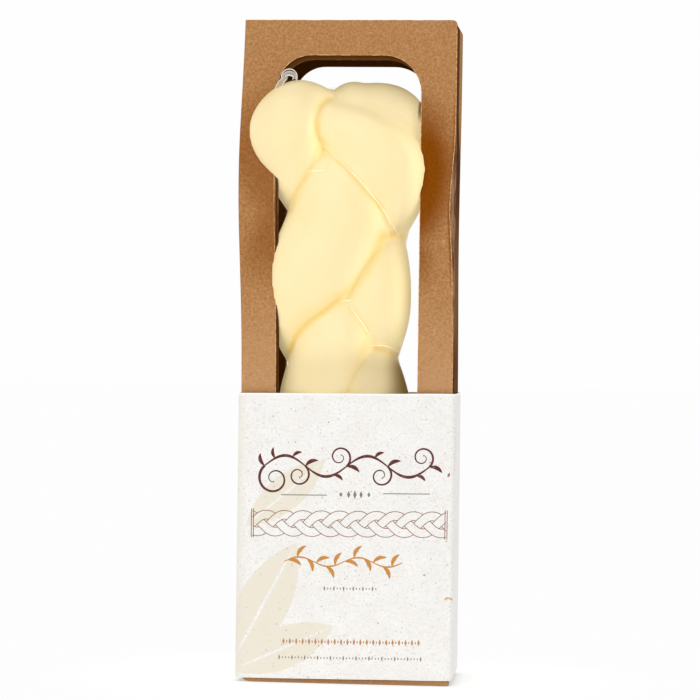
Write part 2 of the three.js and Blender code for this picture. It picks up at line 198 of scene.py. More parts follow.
class Finish:
    """A material with one Principled shader, and one method that adds any other node."""

    def __init__(self, name, **fixed):
        self.material = bpy.data.materials.new(name)
        self.material.use_nodes = True
        self.tree = self.material.node_tree
        self.shader = self.tree.nodes["Principled BSDF"]
        for socket, value in fixed.items():
            plug(self.shader.inputs[socket.replace("_", " ")], value)

    def node(self, kind, settings, values, out=0):
        node = self.tree.nodes.new("ShaderNode" + kind)
        for key, value in settings.items():
            setattr(node, key, value)
        for key, value in values.items():
            plug(node.inputs[key], value)
        return Wire(node.outputs[out])

    def place(self, stretch=(1.0, 1.0, 1.0), turn=(0.0, 0.0, 0.0)):
        """Where a point is on the piece, in metres, turned and stretched."""
        point = self.node("TexCoord", {}, {}, "Object")
        return self.node("Mapping", {}, {"Vector": point, "Scale": stretch, "Rotation": turn})

    def marked(self, name):
        """A value that the piece's mesh carries under that name."""
        return self.node("Attribute", {"attribute_name": name}, {}, "Fac")

    def noise(self, at, scale, detail=2.0, rough=0.5, warp=0.0):
        values = {"Vector": at, "Scale": scale, "Detail": detail, "Roughness": rough, "Distortion": warp}
        return self.node("TexNoise", {}, values)

    def blend(self, amount, first, second):
        """Two colours mixed by an amount from 0 to 1."""
        settings = {"data_type": "RGBA", "clamp_factor": True}
        return self.node("Mix", settings, {0: amount, 6: first, 7: second}, 2)

    def ease(self, value, low, high):
        """0 at low, 1 at high, and smooth between them."""
        settings = {"interpolation_type": "SMOOTHSTEP"}
        return self.node("MapRange", settings, {0: value, 1: low, 2: high, 3: 0.0, 4: 1.0})

    def threads(self, way, width, patches):
        """Thin curling lines where a noise crosses its middle, kept to patches."""
        return (1.0 - self.ease((way - 0.5).size(), 0.0, width)) * patches

    def bump(self, height, strength, distance):
        values = {"Height": height, "Strength": strength, "Distance": distance}
        plug(self.shader.inputs["Normal"], self.node("Bump", {}, values))

    def paint(self, **wires):
        for socket, value in wires.items():
            plug(self.shader.inputs[socket.replace("_", " ")], value)
        return self.material


def screen(red, green, blue):
    """A colour as a screen shows it, 0 to 255, made the linear one that a shader takes."""
    parts = []
    for part in (red, green, blue):
        level = part / 255.0
        parts.append(level / 12.92 if level <= 0.04045 else ((level + 0.055) / 1.055) ** 2.4)
    return tuple(parts)


board = Finish("studio_board", Roughness=1.0, Specular_IOR_Level=0.0, Emission_Strength=1.0)
from_middle = board.node("VectorMath", {"operation": "LENGTH"}, {0: board.place()}, "Value")
far = board.ease(from_middle, 0.02, 0.08)
board_mat = board.paint(
    Base_Color=board.blend(far, (0.72, 0.72, 0.72), (0.0, 0.0, 0.0)),
    Emission_Color=board.blend(far, (0.38, 0.38, 0.38), (0.985, 0.985, 0.985)),
)
bm = bmesh.new()
bmesh.ops.create_grid(bm, x_segments=8, y_segments=8, size=6.0)
floor = finished(bm, "floor", [board_mat])

# ---- Carton ---------------------------------------------------------------------------------
# One strip of brown kraft card, wound once and a fifth and glued, so the front is two layers
# thick and its outer layer ends in a raw edge at the right. A window is die-cut through both
# front layers and the back. The cheese leans on the front, which is pushed a little sideways.

CARD = 0.55
CARTON_HEIGHT = 160.5
RIGHT_WALL = 25.1
FOLD = 0.9
LINING_Y = -14.41
WINDOW_HALF = 17.25
WINDOW_LOW = 61.0
WINDOW_HIGH = 152.0
WINDOW_ROUND_LEFT = 7.8
WINDOW_ROUND_RIGHT = 9.2
LINING_RIGHT = 0.7
LINING_DOWN = 1.1
# How far the cheese pushes the left wall out and the right wall in, how high up this is, and over
# what height it fades.
LEFT_BOW = (1.61, 122.0, 28.5)
RIGHT_BOW = (0.36, 108.0, 28.0)


def clamp(value, low=0.0, high=1.0):
    """The value kept between low and high."""
    return min(max(value, low), high)


def ease(value, low, high):
    """0 at low, 1 at high, and smooth between them."""
    part = clamp((value - low) / (high - low))
    return part * part * (3.0 - 2.0 * part)


def bell(z, middle, spread):
    """1 at the middle, fading on both sides of it."""
    return math.exp(-(((z - middle) / spread) ** 2))


def bow(z, reach, middle, spread):
    """How far a wall is pushed at a height, when it is pushed most at the middle."""
    return reach * bell(z, middle, spread)


def spot(x, y, z):
    """A point of the carton in its own millimetres, pushed by the cheese, in metres in the frame."""
    forward = clamp((HALF_DEPTH - y) / (2 * HALF_DEPTH))
    push = bow(z, *LEFT_BOW) * (1.0 - ease(x, -32.0, 6.0)) * forward
    push += bow(z, *RIGHT_BOW) * ease(x, 10.0, 25.0) * (1.0 - forward)
    return (Vector((x - push, y, z)) + carton_middle) * MM


def arc(x, y, radius, start, end, steps=8):
    """Points round a fold, by angles in degrees."""
    turns = [math.radians(start + (end - start) * i / steps) for i in range(steps + 1)]
    return [Vector((x + radius * math.cos(a), y + radius * math.sin(a))) for a in turns]


def leg(x0, y0, x1, y1, step=2.5):
    """Points along a flat panel, without its two ends."""
    start, end = Vector((x0, y0)), Vector((x1, y1))
    count = max(2, math.ceil((end - start).length / step))
    return [start.lerp(end, i / count) for i in range(1, count)]


class Outline:
    """The outer face of a bent sheet seen from above, measured along its length."""

    def __init__(self, points, outward):
        self.points = points
        self.reach = [0.0]
        for here, there in zip(points, points[1:]):
            self.reach.append(self.reach[-1] + (there - here).length)
        sides = []
        for here, there in zip(points, points[1:]):
            run = (there - here).normalized()
            sides.append(Vector((run.y, -run.x)) * outward)
        self.outs = [(a + b).normalized() for a, b in zip([sides[0], *sides], [*sides, sides[-1]])]

    def at(self, reach, depth):
        """The point that far along the sheet and that deep in it."""
        last = len(self.points) - 2
        i = next((n for n in range(last) if reach <= self.reach[n + 1]), last)
        part = (reach - self.reach[i]) / (self.reach[i + 1] - self.reach[i])
        point = self.points[i].lerp(self.points[i + 1], part)
        out = self.outs[i].lerp(self.outs[i + 1], clamp(part))
        return point - out * depth


def flat_sheet(columns, rows, thickness):
    """A flat sheet in millimetres: along its length, up, and into its thickness."""
    bm = bmesh.new()
    bmesh.ops.create_grid(bm, x_segments=len(columns) - 1, y_segments=len(rows) - 1, size=1.0)
    for vert in bm.verts:
        column = columns[round((vert.co.x + 1.0) / 2.0 * (len(columns) - 1))]
        row = rows[round((vert.co.y + 1.0) / 2.0 * (len(rows) - 1))]
        vert.co = (column, row, 0.0)
    grown = bmesh.ops.extrude_face_region(bm, geom=bm.faces[:])["geom"]
    far = [part for part in grown if isinstance(part, bmesh.types.BMVert)]
    bmesh.ops.translate(bm, verts=far, vec=(0.0, 0.0, thickness))
    bmesh.ops.recalc_face_normals(bm, faces=bm.faces[:])
    return bm


def rounded_plug(left, right, low, high, round_left, round_right, deep=3.0):
    """What a die cuts out: a block with round corners, through a flat sheet."""
    bm = bmesh.new()
    bmesh.ops.create_grid(bm, x_segments=1, y_segments=1, size=1.0)
    for vert in bm.verts:
        vert.co = (right if vert.co.x > 0 else left, high if vert.co.y > 0 else low, -deep / 2)
    middle = (left + right) / 2
    for side, radius in ((-1, round_left), (1, round_right)):
        corners = [v for v in bm.verts if (v.co.x - middle) * side > abs(right - left) / 2 - 0.01]
        bmesh.ops.bevel(
            bm, geom=corners, offset=radius, offset_type="OFFSET", segments=16,
            affect="VERTICES", profile=0.5, material=-1,
        )
    grown = bmesh.ops.extrude_face_region(bm, geom=bm.faces[:])["geom"]
    far = [part for part in grown if isinstance(part, bmesh.types.BMVert)]
    bmesh.ops.translate(bm, verts=far, vec=(0.0, 0.0, deep))
    bmesh.ops.recalc_face_normals(bm, faces=bm.faces[:])
    return bm


def made_real(piece):
    """The bmesh of a curve, or of an object with its modifiers, and the object gone."""
    bpy.context.view_layer.update()
    mesh = bpy.data.meshes.new_from_object(piece.evaluated_get(bpy.context.evaluated_depsgraph_get()))
    bpy.data.objects.remove(piece)
    bm = bmesh.new()
    bm.from_mesh(mesh)
    bpy.data.meshes.remove(mesh)
    return bm


def cut_by(bm, plugs, name):
    """The bmesh with the plugs cut out of it."""
    body = finished(bm, name + "_blank", [])
    tools = [finished(plug_bm, name + "_die", []) for plug_bm in plugs]
    for tool in tools:
        cut = body.modifiers.new("cut", "BOOLEAN")
        cut.operation = "DIFFERENCE"
        cut.solver = "MANIFOLD"
        cut.object = tool
    result = made_real(body)
    for tool in tools:
        bpy.data.objects.remove(tool)
    return result


OUTSIDE, CUT, INSIDE = 0, 1, 2


def mark_sides(bm, inside_from=math.inf):
    """Gives a flat sheet's outside, cut edges and inside their materials. From inside_from along
    it, the sheet lies behind another layer, and its outside is finished as inside."""
    bm.normal_update()
    for face in bm.faces:
        if face.normal.z < -0.5:
            hidden = face.calc_center_median().x > inside_from
            face.material_index = INSIDE if hidden else OUTSIDE
        else:
            face.material_index = INSIDE if face.normal.z > 0.5 else CUT


strip_points = (
    [Vector((HALF_WIDTH - step, -HALF_DEPTH)) for step in (0.0, 0.1, 0.3, 0.6, 1.1, 1.7, 2.2)]
    + leg(HALF_WIDTH - 2.2, -HALF_DEPTH, FOLD - HALF_WIDTH, -HALF_DEPTH, 1.2)
    + arc(FOLD - HALF_WIDTH, FOLD - HALF_DEPTH, FOLD, 270.0, 180.0)
    + leg(-HALF_WIDTH, FOLD - HALF_DEPTH, -HALF_WIDTH, HALF_DEPTH - FOLD)
    + arc(FOLD - HALF_WIDTH, HALF_DEPTH - FOLD, FOLD, 180.0, 90.0)
    + leg(FOLD - HALF_WIDTH, HALF_DEPTH, RIGHT_WALL - FOLD, HALF_DEPTH)
    + arc(RIGHT_WALL - FOLD, HALF_DEPTH - FOLD, FOLD, 90.0, 0.0)
    + leg(RIGHT_WALL, HALF_DEPTH - FOLD, RIGHT_WALL, LINING_Y + FOLD, 1.0)
    + arc(RIGHT_WALL - FOLD, LINING_Y + FOLD, FOLD, 0.0, -90.0)
    + leg(RIGHT_WALL - FOLD, LINING_Y, 1.1 - HALF_WIDTH, LINING_Y)
    + [Vector((1.1 - HALF_WIDTH, LINING_Y))]
)
strip = Outline(strip_points, -1.0)
strip_rows = [0.0, 0.15, 0.4, 0.8, 1.3] + [2.0 + i * 1.3 for i in range(120)]
strip_rows += [158.0, 158.8, 159.4, 159.9, 160.2, CARTON_HEIGHT]

BACK_START = strip.reach[next(
    i for i, p in enumerate(strip_points) if abs(p.y - HALF_DEPTH) < 1e-6
)]
LINING_START = strip.reach[next(
    i for i, p in enumerate(strip_points)
    if abs(p.y - LINING_Y) < 1e-6 and strip.reach[i] > BACK_START
)]


def strip_window(middle, outward, shift_x=0.0, shift_z=0.0):
    """A window's plug where the strip's length grows to the right (1) or to the left (-1)."""
    centre = middle + outward * shift_x
    rounds = (WINDOW_ROUND_LEFT, WINDOW_ROUND_RIGHT)
    if outward < 0:
        rounds = rounds[::-1]
    return rounded_plug(
        centre - WINDOW_HALF, centre + WINDOW_HALF,
        WINDOW_LOW + shift_z, WINDOW_HIGH + shift_z, *rounds,
    )


windows = [
    strip_window(HALF_WIDTH, -1.0),
    strip_window(BACK_START + HALF_WIDTH - FOLD, 1.0),
    strip_window(LINING_START + RIGHT_WALL - FOLD, -1.0, LINING_RIGHT, -LINING_DOWN),
]
bm = cut_by(flat_sheet(strip.reach, strip_rows, CARD), windows, "carton_wrap")
mark_sides(bm, LINING_START - 1.0)

RAW_ROUND = 1.1
REAR_ROUND = 1.2
WALL_DROP = 0.25
FRONT_FOLD_DROP = 0.9
right_wall_start = BACK_START + RIGHT_WALL + HALF_WIDTH - 2 * FOLD + FOLD * math.pi / 2
rear_corner = right_wall_start - FOLD * math.pi / 4
front_fold = LINING_START - FOLD * math.pi / 4


def top_drop(reach):
    """How far the strip's top edge is below the carton's height."""
    drop = 0.0
    if reach < RAW_ROUND:
        drop = RAW_ROUND - math.sqrt(max(0.0, RAW_ROUND**2 - (RAW_ROUND - reach) ** 2))
    drop += REAR_ROUND * clamp(1.0 - abs(reach - rear_corner) / 3.0) ** 2
    on_wall = ease(reach, rear_corner, rear_corner + 3.0) * (1.0 - ease(reach, front_fold, front_fold + 4.0))
    drop += WALL_DROP * on_wall + FRONT_FOLD_DROP * bell(reach, front_fold, 3.5)
    ripple = noise.noise(Vector((reach * 0.16, 3.1, 0.0)))
    ripple += 0.4 * noise.noise(Vector((reach * 0.6, 8.2, 0.0)))
    return drop + 0.16 * abs(ripple)


# The bottom corners are rounded, and the left wall is drawn in a little below.
BASE_ROUND_LEFT = 1.7
BASE_ROUND_RIGHT = 0.5
BASE_INSET = 0.9
CRUSH_REACH = 2.2


def crush(z):
    """How far the outer rim of the raw edge is crushed back, most where the cheese bulges."""
    return 0.1 + 1.1 * bell(z, 116.0, 11.5) + 0.3 * bell(z, 98.0, 16.0)


def wall_shade(y, z):
    """How dark the right wall is painted: painted shade behind the raw edge, and more painted shade half way
    up.
    """
    half_way = ease(z, 76.0, 92.0) * (1.0 - ease(z, 122.0, 141.0))
    seam_end = 3.6 * ease(z, 70.0, 84.0) + 12.0 * half_way
    gloom = 0.68 + 0.28 * ease(z, 98.0, 124.0) + 0.3 * (1.0 - ease(z, 74.0, 90.0))
    seam = gloom * (1.0 - ease(y, seam_end - 2.4, seam_end + 2.4))
    rear = 7.0 + 5.6 * ease(z, 80.0, 105.0)
    at_rear = ease(y, rear - 1.6, rear + 1.6)
    return max(0.94 * seam, 0.8 * at_rear, 0.1 + 0.75 * bell(z, 76.0, 16.0))


# The mesh carries painted shade in its shade layer: on the right wall, on the lining's outside where it
# shows below the window's top, and on the raw edge's cut face, darker deeper in.
LINING_SHADE = 0.45
shade = bm.verts.layers.float.new("shade")
for vert in bm.verts:
    reach, z, depth = vert.co
    if reach < CRUSH_REACH:
        if depth < CARD / 2:
            rim = crush(z)
        else:
            rim = -0.15 * ease(z, 72.0, 90.0) * (1.0 - ease(z, 128.0, 140.0))
        if reach == 0.0:
            vert[shade] = 0.3 if depth < CARD / 2 else 1.0
        reach = rim + reach * (1.0 - rim / CRUSH_REACH)
    z -= top_drop(reach) * ease(z, CARTON_HEIGHT - 8.0, CARTON_HEIGHT)
    point = strip.at(reach, depth)
    if right_wall_start < reach < LINING_START:
        vert[shade] = wall_shade(point.y, z)
    elif reach >= LINING_START:
        vert[shade] = LINING_SHADE
    side, turn = (1.0, BASE_ROUND_RIGHT) if point.x > 0 else (-1.0, BASE_ROUND_LEFT)
    tuck = turn - math.sqrt(max(0.0, turn**2 - (turn - min(z, turn)) ** 2))
    if side < 0:
        tuck += BASE_INSET * (1.0 - ease(z, 1.2, 5.0))
    point.x -= side * tuck * ease(abs(point.x), HALF_WIDTH - 8.0, HALF_WIDTH - 0.6)
    vert.co = spot(point.x, point.y, z)

kraft = Finish("kraft_card", Roughness=0.95, Specular_IOR_Level=0.0)
at = kraft.place()
mottle = kraft.noise(at, 1600.0, 3.0, 0.6)
cloud = kraft.noise(at, 120.0, 3.0, 0.55)
tone = kraft.blend(kraft.ease(mottle, 0.3, 0.7), screen(165, 117, 71), screen(193, 145, 97))
tone = kraft.blend(kraft.ease(cloud, 0.35, 0.75) * 0.15, tone, screen(174, 120, 66))
height = kraft.node("SeparateXYZ", {}, {"Vector": at}, "Z")
# Painted light: the card is painted lighter low down, out of the shade that the cheese casts higher up.
tone = kraft.blend((1.0 - kraft.ease(height, 0.072, 0.100)) * 0.5, tone, screen(200, 156, 114))
long_way = kraft.noise(kraft.place(turn=(0.3, 0.5, 0.2)), 310.0, 3.0, 0.55, 0.6)
pale_fibre = kraft.threads(long_way, 0.012, kraft.ease(kraft.noise(at, 700.0), 0.52, 0.62))
short_way = kraft.noise(kraft.place(turn=(1.1, 0.2, 0.9)), 520.0, 3.0, 0.5, 0.8)
dark_fibre = kraft.threads(short_way, 0.014, kraft.ease(kraft.noise(at, 560.0), 0.5, 0.62))
tone = kraft.blend(pale_fibre * 0.42, tone, screen(222, 182, 136))
tone = kraft.blend(dark_fibre * 0.40, tone, screen(128, 82, 44))
grit = kraft.noise(at, 2600.0, 2.0, 0.6)
tone = kraft.blend(kraft.ease(grit, 0.62, 0.8) * 0.25, tone, screen(120, 78, 44))
# Painted shadow: the card turns a dark warm brown where the cheese shades it.
warm = kraft.marked("warm")
cheese_shadow_tone = kraft.blend(mottle, screen(114, 56, 4), screen(144, 80, 14))
tone = kraft.blend(warm, tone, cheese_shadow_tone)
# Painted shade from the shade layer, darkest on the right wall, streaked with ribs.
dark = kraft.marked("shade")
ribs = kraft.noise(kraft.place(stretch=(1.0, 1.0, 0.3)), 1500.0, 2.0, 0.5)
wall_shade_tone = kraft.blend(kraft.ease(ribs, 0.4, 0.62), screen(48, 21, 8), screen(76, 43, 24))
tone = kraft.blend(dark, tone, wall_shade_tone)
# Painted shadow of the label's top edge: the card is darker from just above the label down.
tone = kraft.blend((1.0 - kraft.ease(height, 0.0700, 0.0722)) * 0.18, tone, screen(96, 62, 34))
# Painted shade: the card is a little darker towards the top.
tone = kraft.blend(kraft.ease(height, 0.138, 0.150) * 0.08, tone, screen(150, 104, 66))
kraft.bump(mottle * 0.6 + grit * 0.4, 0.25, 0.00012)
kraft_mat = kraft.paint(Base_Color=tone)

cut_card = Finish("cut_card", Roughness=0.95, Specular_IOR_Level=0.1)
plies = cut_card.noise(cut_card.place(stretch=(1.0, 1.0, 0.1)), 1700.0, 3.0, 0.6)
cut_tone = cut_card.blend(cut_card.ease(plies, 0.38, 0.62), screen(120, 86, 60), screen(170, 132, 100))
# Painted shade: the raw edge's cut face turns darker deeper in.
cut_face_shade = cut_card.marked("shade")
shaded_ply_tone = cut_card.blend(cut_card.ease(plies, 0.4, 0.6), screen(84, 54, 34), screen(146, 110, 82))
cut_tone = cut_card.blend(cut_face_shade, cut_tone, shaded_ply_tone)
cut_card.bump(plies, 0.3, 0.0001)
cut_mat = cut_card.paint(Base_Color=cut_tone)

# The inside of the card is painted dark brown: painted shade, for the little light that gets into the closed
# carton.
unlit = Finish("kraft_inside_painted_shade", Roughness=0.95, Specular_IOR_Level=0.05)
unlit_mottle = unlit.noise(unlit.place(), 380.0, 3.0, 0.6)
inside_mat = unlit.paint(Base_Color=unlit.blend(unlit_mottle, screen(74, 40, 12), screen(102, 62, 22)))
card_mats = [kraft_mat, cut_mat, inside_mat]

carton_wrap = finished(bm, "carton_wrap", card_mats)
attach(carton_wrap, "root")

# The die and the knife leave a fine pale burr of fibres along the window and the raw edge; its paleness is
# partly a painted highlight where light catches the cut edge.
BURR = 0.1


def window_side(side, radius):
    """Half of the window's edge, from low down to the middle of the top."""
    start, straight = WINDOW_LOW + 1.0, WINDOW_HIGH - radius
    turns = [math.pi / 2 * i / 14 for i in range(15)]
    edge = [(side * WINDOW_HALF, start + (straight - start) * i / 40) for i in range(41)]
    for turn in turns:
        reach = WINDOW_HALF - radius * (1.0 - math.cos(turn))
        edge.append((side * reach, straight + radius * math.sin(turn)))
    edge += [(side * (WINDOW_HALF - radius) * (1.0 - i / 8), WINDOW_HIGH) for i in range(1, 9)]
    return edge


def drawn(name, lines, thick=1.0, sides=1):
    """A bmesh of round cords through lines of (place, radius), with the radius in units of thick."""
    data = bpy.data.curves.new(name, "CURVE")
    data.dimensions = "3D"
    data.bevel_depth = thick
    data.bevel_resolution = sides
    data.use_fill_caps = True
    for line in lines:
        spline = data.splines.new("POLY")
        spline.points.add(len(line) - 1)
        for point, (place, radius) in zip(spline.points, line):
            point.co = (*place, 1.0)
            point.radius = radius
    cords = bpy.data.objects.new(name + "_cords", data)
    scene.collection.objects.link(cords)
    return made_real(cords)


frayed = random.Random(11)
raw_edge = [(HALF_WIDTH - crush(z), z) for z in (1.5 + 1.6 * i for i in range(99))]
card_edges = (window_side(-1.0, WINDOW_ROUND_LEFT), window_side(1.0, WINDOW_ROUND_RIGHT), raw_edge)
burr_lines = [
    [(spot(x, 0.02 - HALF_DEPTH, z), frayed.uniform(0.75, 1.15)) for x, z in edge]
    for edge in card_edges
]

fibre = Finish("card_fibre", Roughness=0.95, Specular_IOR_Level=0.1)
fibre_grain = fibre.noise(fibre.place(), 1200.0, 2.0, 0.5)
fibre_tone = fibre.blend(fibre.ease(fibre_grain, 0.4, 0.6), screen(190, 136, 84), screen(226, 182, 134))
fibre_mat = fibre.paint(Base_Color=fibre_tone)
card_burr = finished(drawn("card_burr", burr_lines, BURR * MM), "card_burr", [fibre_mat])
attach(card_burr, "root")

# ---- Carton lid and base --------------------------------------------------------------------
# Two flaps of the same card close the ends. The lid lies between the walls and tucks down
# behind the front, and the base is folded in the same way.

LID_TOP = CARTON_HEIGHT - 0.3
BASE_UNDER = 0.05
FLAP_GAP = 0.4
TUCK = 6.8
LID_NARROWING = 0.4
LID_DROOP = 0.55
BASE_NARROWING = 1.2


def flap(name, profile, outward, left, right, margin, droop=0.0):
    """A flap bent in depth and height, and straight across but for a droop at its right."""
    shape = Outline(profile, outward)
    columns = [left + (right - left) * i / 24 for i in range(25)]
    bm = flat_sheet(columns, shape.reach, CARD)
    mark_sides(bm)
    tip = shape.reach[-1]
    for vert in bm.verts:
        x, reach, depth = vert.co
        narrow = margin * ease(reach, tip - 5.0, tip)
        middle = (left + right) / 2
        x = middle + (x - middle) * (1.0 - narrow / (right - middle))
        y, z = shape.at(reach, depth)
        vert.co = spot(x, y, z - droop * ease(x, right - 4.0, right))
    bmesh.ops.recalc_face_normals(bm, faces=bm.faces[:])
    piece = finished(bm, name, card_mats)
    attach(piece, "root")


inside_left = CARD + FLAP_GAP - HALF_WIDTH
inside_right = RIGHT_WALL - CARD - FLAP_GAP
inside_back = HALF_DEPTH - CARD
tuck_front = LINING_Y + CARD + 0.36
lid_profile = (
    [Vector((inside_back - 0.05, LID_TOP))]
    + leg(inside_back, LID_TOP, tuck_front + FOLD, LID_TOP)
    + arc(tuck_front + FOLD, LID_TOP - FOLD, FOLD, 90.0, 180.0)
    + leg(tuck_front, LID_TOP - FOLD, tuck_front, LID_TOP - TUCK, 1.0)
    + [Vector((tuck_front, LID_TOP - TUCK))]
)
flap("carton_lid", lid_profile, 1.0, inside_left, inside_right + 0.3, LID_NARROWING, LID_DROOP)
base_profile = (
    [Vector((inside_back - 0.05, BASE_UNDER))]
    + leg(inside_back, BASE_UNDER, tuck_front + FOLD, BASE_UNDER)
    + arc(tuck_front + FOLD, BASE_UNDER + FOLD, FOLD, 270.0, 180.0)
    + leg(tuck_front, BASE_UNDER + FOLD, tuck_front, TUCK, 1.0)
    + [Vector((tuck_front, TUCK))]
)
flap("carton_base", base_profile, -1.0, inside_left + 2.4, inside_right, BASE_NARROWING)
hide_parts("carton")

# ---- Label band -----------------------------------------------------------------------------
# A strip of uncoated off-white recycled paper, flecked with fibre, printed with broad pale
# leaves, and glued to itself at the back. It crowns a little over the front and the back.

PAPER = 0.22
BAND_OUT = 0.64
BAND_LOW = 1.2
BAND_HIGH = 70.2
BAND_CROWN = 0.5
BAND_TILT = 0.0085
band_x = HALF_WIDTH + BAND_OUT
band_right = RIGHT_WALL + BAND_OUT
band_y = HALF_DEPTH + BAND_OUT
soft_fold = FOLD + BAND_OUT
tight_fold = 0.3 + BAND_OUT


def crowned(points, side):
    """Points of a front or back panel, bowed outwards in the middle."""
    low, high = soft_fold - band_x, band_x - tight_fold
    lifted = []
    for point in points:
        part = clamp((point.x - low) / (high - low))
        lifted.append(Vector((point.x, point.y + side * BAND_CROWN * 4.0 * part * (1.0 - part))))
    return lifted


band_points = (
    crowned([Vector((8.0, band_y))] + leg(8.0, band_y, soft_fold - band_x, band_y, 1.5), 1.0)
    + arc(soft_fold - band_x, band_y - soft_fold, soft_fold, 90.0, 180.0)
    + leg(-band_x, band_y - soft_fold, -band_x, soft_fold - band_y)
    + arc(soft_fold - band_x, soft_fold - band_y, soft_fold, 180.0, 270.0)
    + crowned(leg(soft_fold - band_x, -band_y, band_x - tight_fold, -band_y, 1.0), -1.0)
    + arc(band_x - tight_fold, tight_fold - band_y, tight_fold, 270.0, 361.2)
    + leg(band_x, tight_fold - band_y, band_right, band_y - soft_fold)
    + arc(band_right - soft_fold, band_y - soft_fold, soft_fold, 0.0, 90.0)
    + crowned(leg(band_right - soft_fold, band_y, -2.0, band_y, 1.5) + [Vector((-2.0, band_y))], 1.0)
)
band = Outline(band_points, 1.0)
front_start = next(
    i for i, p in enumerate(band_points)
    if p.y < 1.0 - HALF_DEPTH and p.x > soft_fold - band_x + 0.5
)
band_zero = band.reach[front_start] - band_points[front_start].x


def band_spot(reach, z, depth):
    """A point of the band: along it from the middle of the front, up, and into the paper."""
    along = reach + band_zero
    under = (PAPER + 0.03) * (1.0 - ease(along, 9.0, 16.0))
    point = band.at(along, depth + under)
    return spot(point.x, point.y, z + BAND_TILT * point.x)


band_rows = [BAND_LOW + (BAND_HIGH - BAND_LOW) * i / 46 for i in range(47)]
bm = flat_sheet([reach - band_zero for reach in band.reach], band_rows, PAPER)
mark_sides(bm)
print_map = bm.loops.layers.uv.new("print")
for face in bm.faces:
    for loop in face.loops:
        loop[print_map].uv = (loop.vert.co.x / 100.0, loop.vert.co.y / 100.0)
for vert in bm.verts:
    along, z, depth = vert.co
    edge = ease(z, BAND_HIGH - 6.0, BAND_HIGH) - ease(z, BAND_LOW + 6.0, BAND_LOW)
    z += 0.10 * edge * noise.noise(Vector((along * 0.07, 0.0, 4.0)))
    vert.co = band_spot(along, z, depth)
bmesh.ops.recalc_face_normals(bm, faces=bm.faces[:])

paper = Finish("recycled_paper", Roughness=0.86, Specular_IOR_Level=0.3)
on_print = paper.node("UVMap", {"uv_map": "print"}, {})
print_x = paper.node("SeparateXYZ", {}, {"Vector": on_print}, "X")
print_z = print_x.other("Y")


def leaf(along, height, length, bearing, plump):
    """A broad leaf on the print, where two round fields overlap, in hundredths of the print's unit."""
    turn = math.radians(bearing)
    reach = length / 2.0
    sag = (plump**2 + reach**2) / (2.0 * plump)
    across = Vector((-math.sin(turn), math.cos(turn)))
    middle = Vector((along, height)) + reach * Vector((math.cos(turn), math.sin(turn)))
    fields = []
    for side in (-1.0, 1.0):
        centre = middle + across * (side * (sag - plump))
        dx = print_x - centre.x / 100.0
        dz = print_z - centre.y / 100.0
        fields.append((dx * dx + dz * dz) ** 0.5 * 100.0 - sag)
    return fields[0].most(fields[1])


def leaves_together(first, *others):
    field = leaf(*first)
    for shape in others:
        field = field.least(leaf(*shape))
    return field


leaves = leaves_together(
    (-27.5, 4.0, 34.0, 62.0, 6.2), (-27.0, 3.0, 27.0, 24.0, 5.0),
    (-31.0, 8.0, 40.0, 96.0, 6.6), (-24.0, 38.0, 25.0, 40.0, 4.2),
)
vein = leaves_together(
    (-27.5, 4.0, 34.0, 62.0, 0.35), (-27.0, 3.0, 27.0, 24.0, 0.3), (-24.0, 38.0, 25.0, 40.0, 0.28),
)
paper_at = paper.place()
haze = paper.noise(paper_at, 160.0, 3.0, 0.6)
pulp = paper.noise(paper_at, 1800.0, 3.0, 0.65)
sheet_tone = paper.blend(paper.ease(haze, 0.3, 0.7), screen(244, 243, 240), screen(239, 237, 234))
sheet_tone = paper.blend(paper.ease(pulp, 0.45, 0.70) * 0.75, sheet_tone, screen(226, 221, 214))
leaf_ink = (1.0 - paper.ease(leaves, -0.12, 0.12)) * paper.ease(vein, -0.1, 0.12)
sheet_tone = paper.blend(leaf_ink * 0.92, sheet_tone, screen(232, 225, 208))


def flecks(scale, width, share, seed, tone, strength):
    """Scattered flecks: the middles of a share of random cells."""
    cell = paper.node(
        "TexVoronoi", {"feature": "F1"},
        {"Vector": paper.place(turn=(seed, seed * 0.7, seed * 1.3)), "Scale": scale, "Randomness": 1.0},
        "Distance",
    )
    chance = paper.node("SeparateColor", {}, {"Color": cell.other("Color")})
    ragged = cell + (paper.noise(paper_at, scale * 3.0) - 0.5) * width * 1.2
    dot = (1.0 - paper.ease(ragged, width * 0.6, width)) * (chance < share)
    return paper.blend(dot * strength, sheet_tone, tone)


sheet_tone = flecks(800.0, 0.17, 0.17, 0.4, screen(150, 142, 135), 0.5)
sheet_tone = flecks(560.0, 0.15, 0.09, 1.1, screen(176, 142, 120), 0.55)
sheet_tone = flecks(400.0, 0.10, 0.08, 1.9, screen(96, 82, 72), 0.75)
sheet_tone = flecks(1150.0, 0.26, 0.26, 2.6, screen(204, 194, 186), 0.65)
hair = paper.noise(paper.place(turn=(0.4, 0.9, 0.1)), 260.0, 2.0, 0.5, 1.2)
hairs = paper.threads(hair, 0.006, paper.ease(paper.noise(paper_at, 330.0), 0.6, 0.66))
sheet_tone = paper.blend(hairs * 0.5, sheet_tone, screen(170, 148, 130))
at_fold = (1.0 - paper.ease(print_x, -0.262, -0.236)) * paper.ease(print_x, -0.300, -0.275)
sheet_tone = paper.blend(at_fold * 0.6, sheet_tone, screen(226, 221, 207))
sheet_tone = paper.blend(paper.ease(print_z, 0.6965, 0.6990) * 0.7, sheet_tone, screen(255, 254, 251))
paper.bump(pulp, 0.2, 0.00005)
paper_mat = paper.paint(Base_Color=sheet_tone)

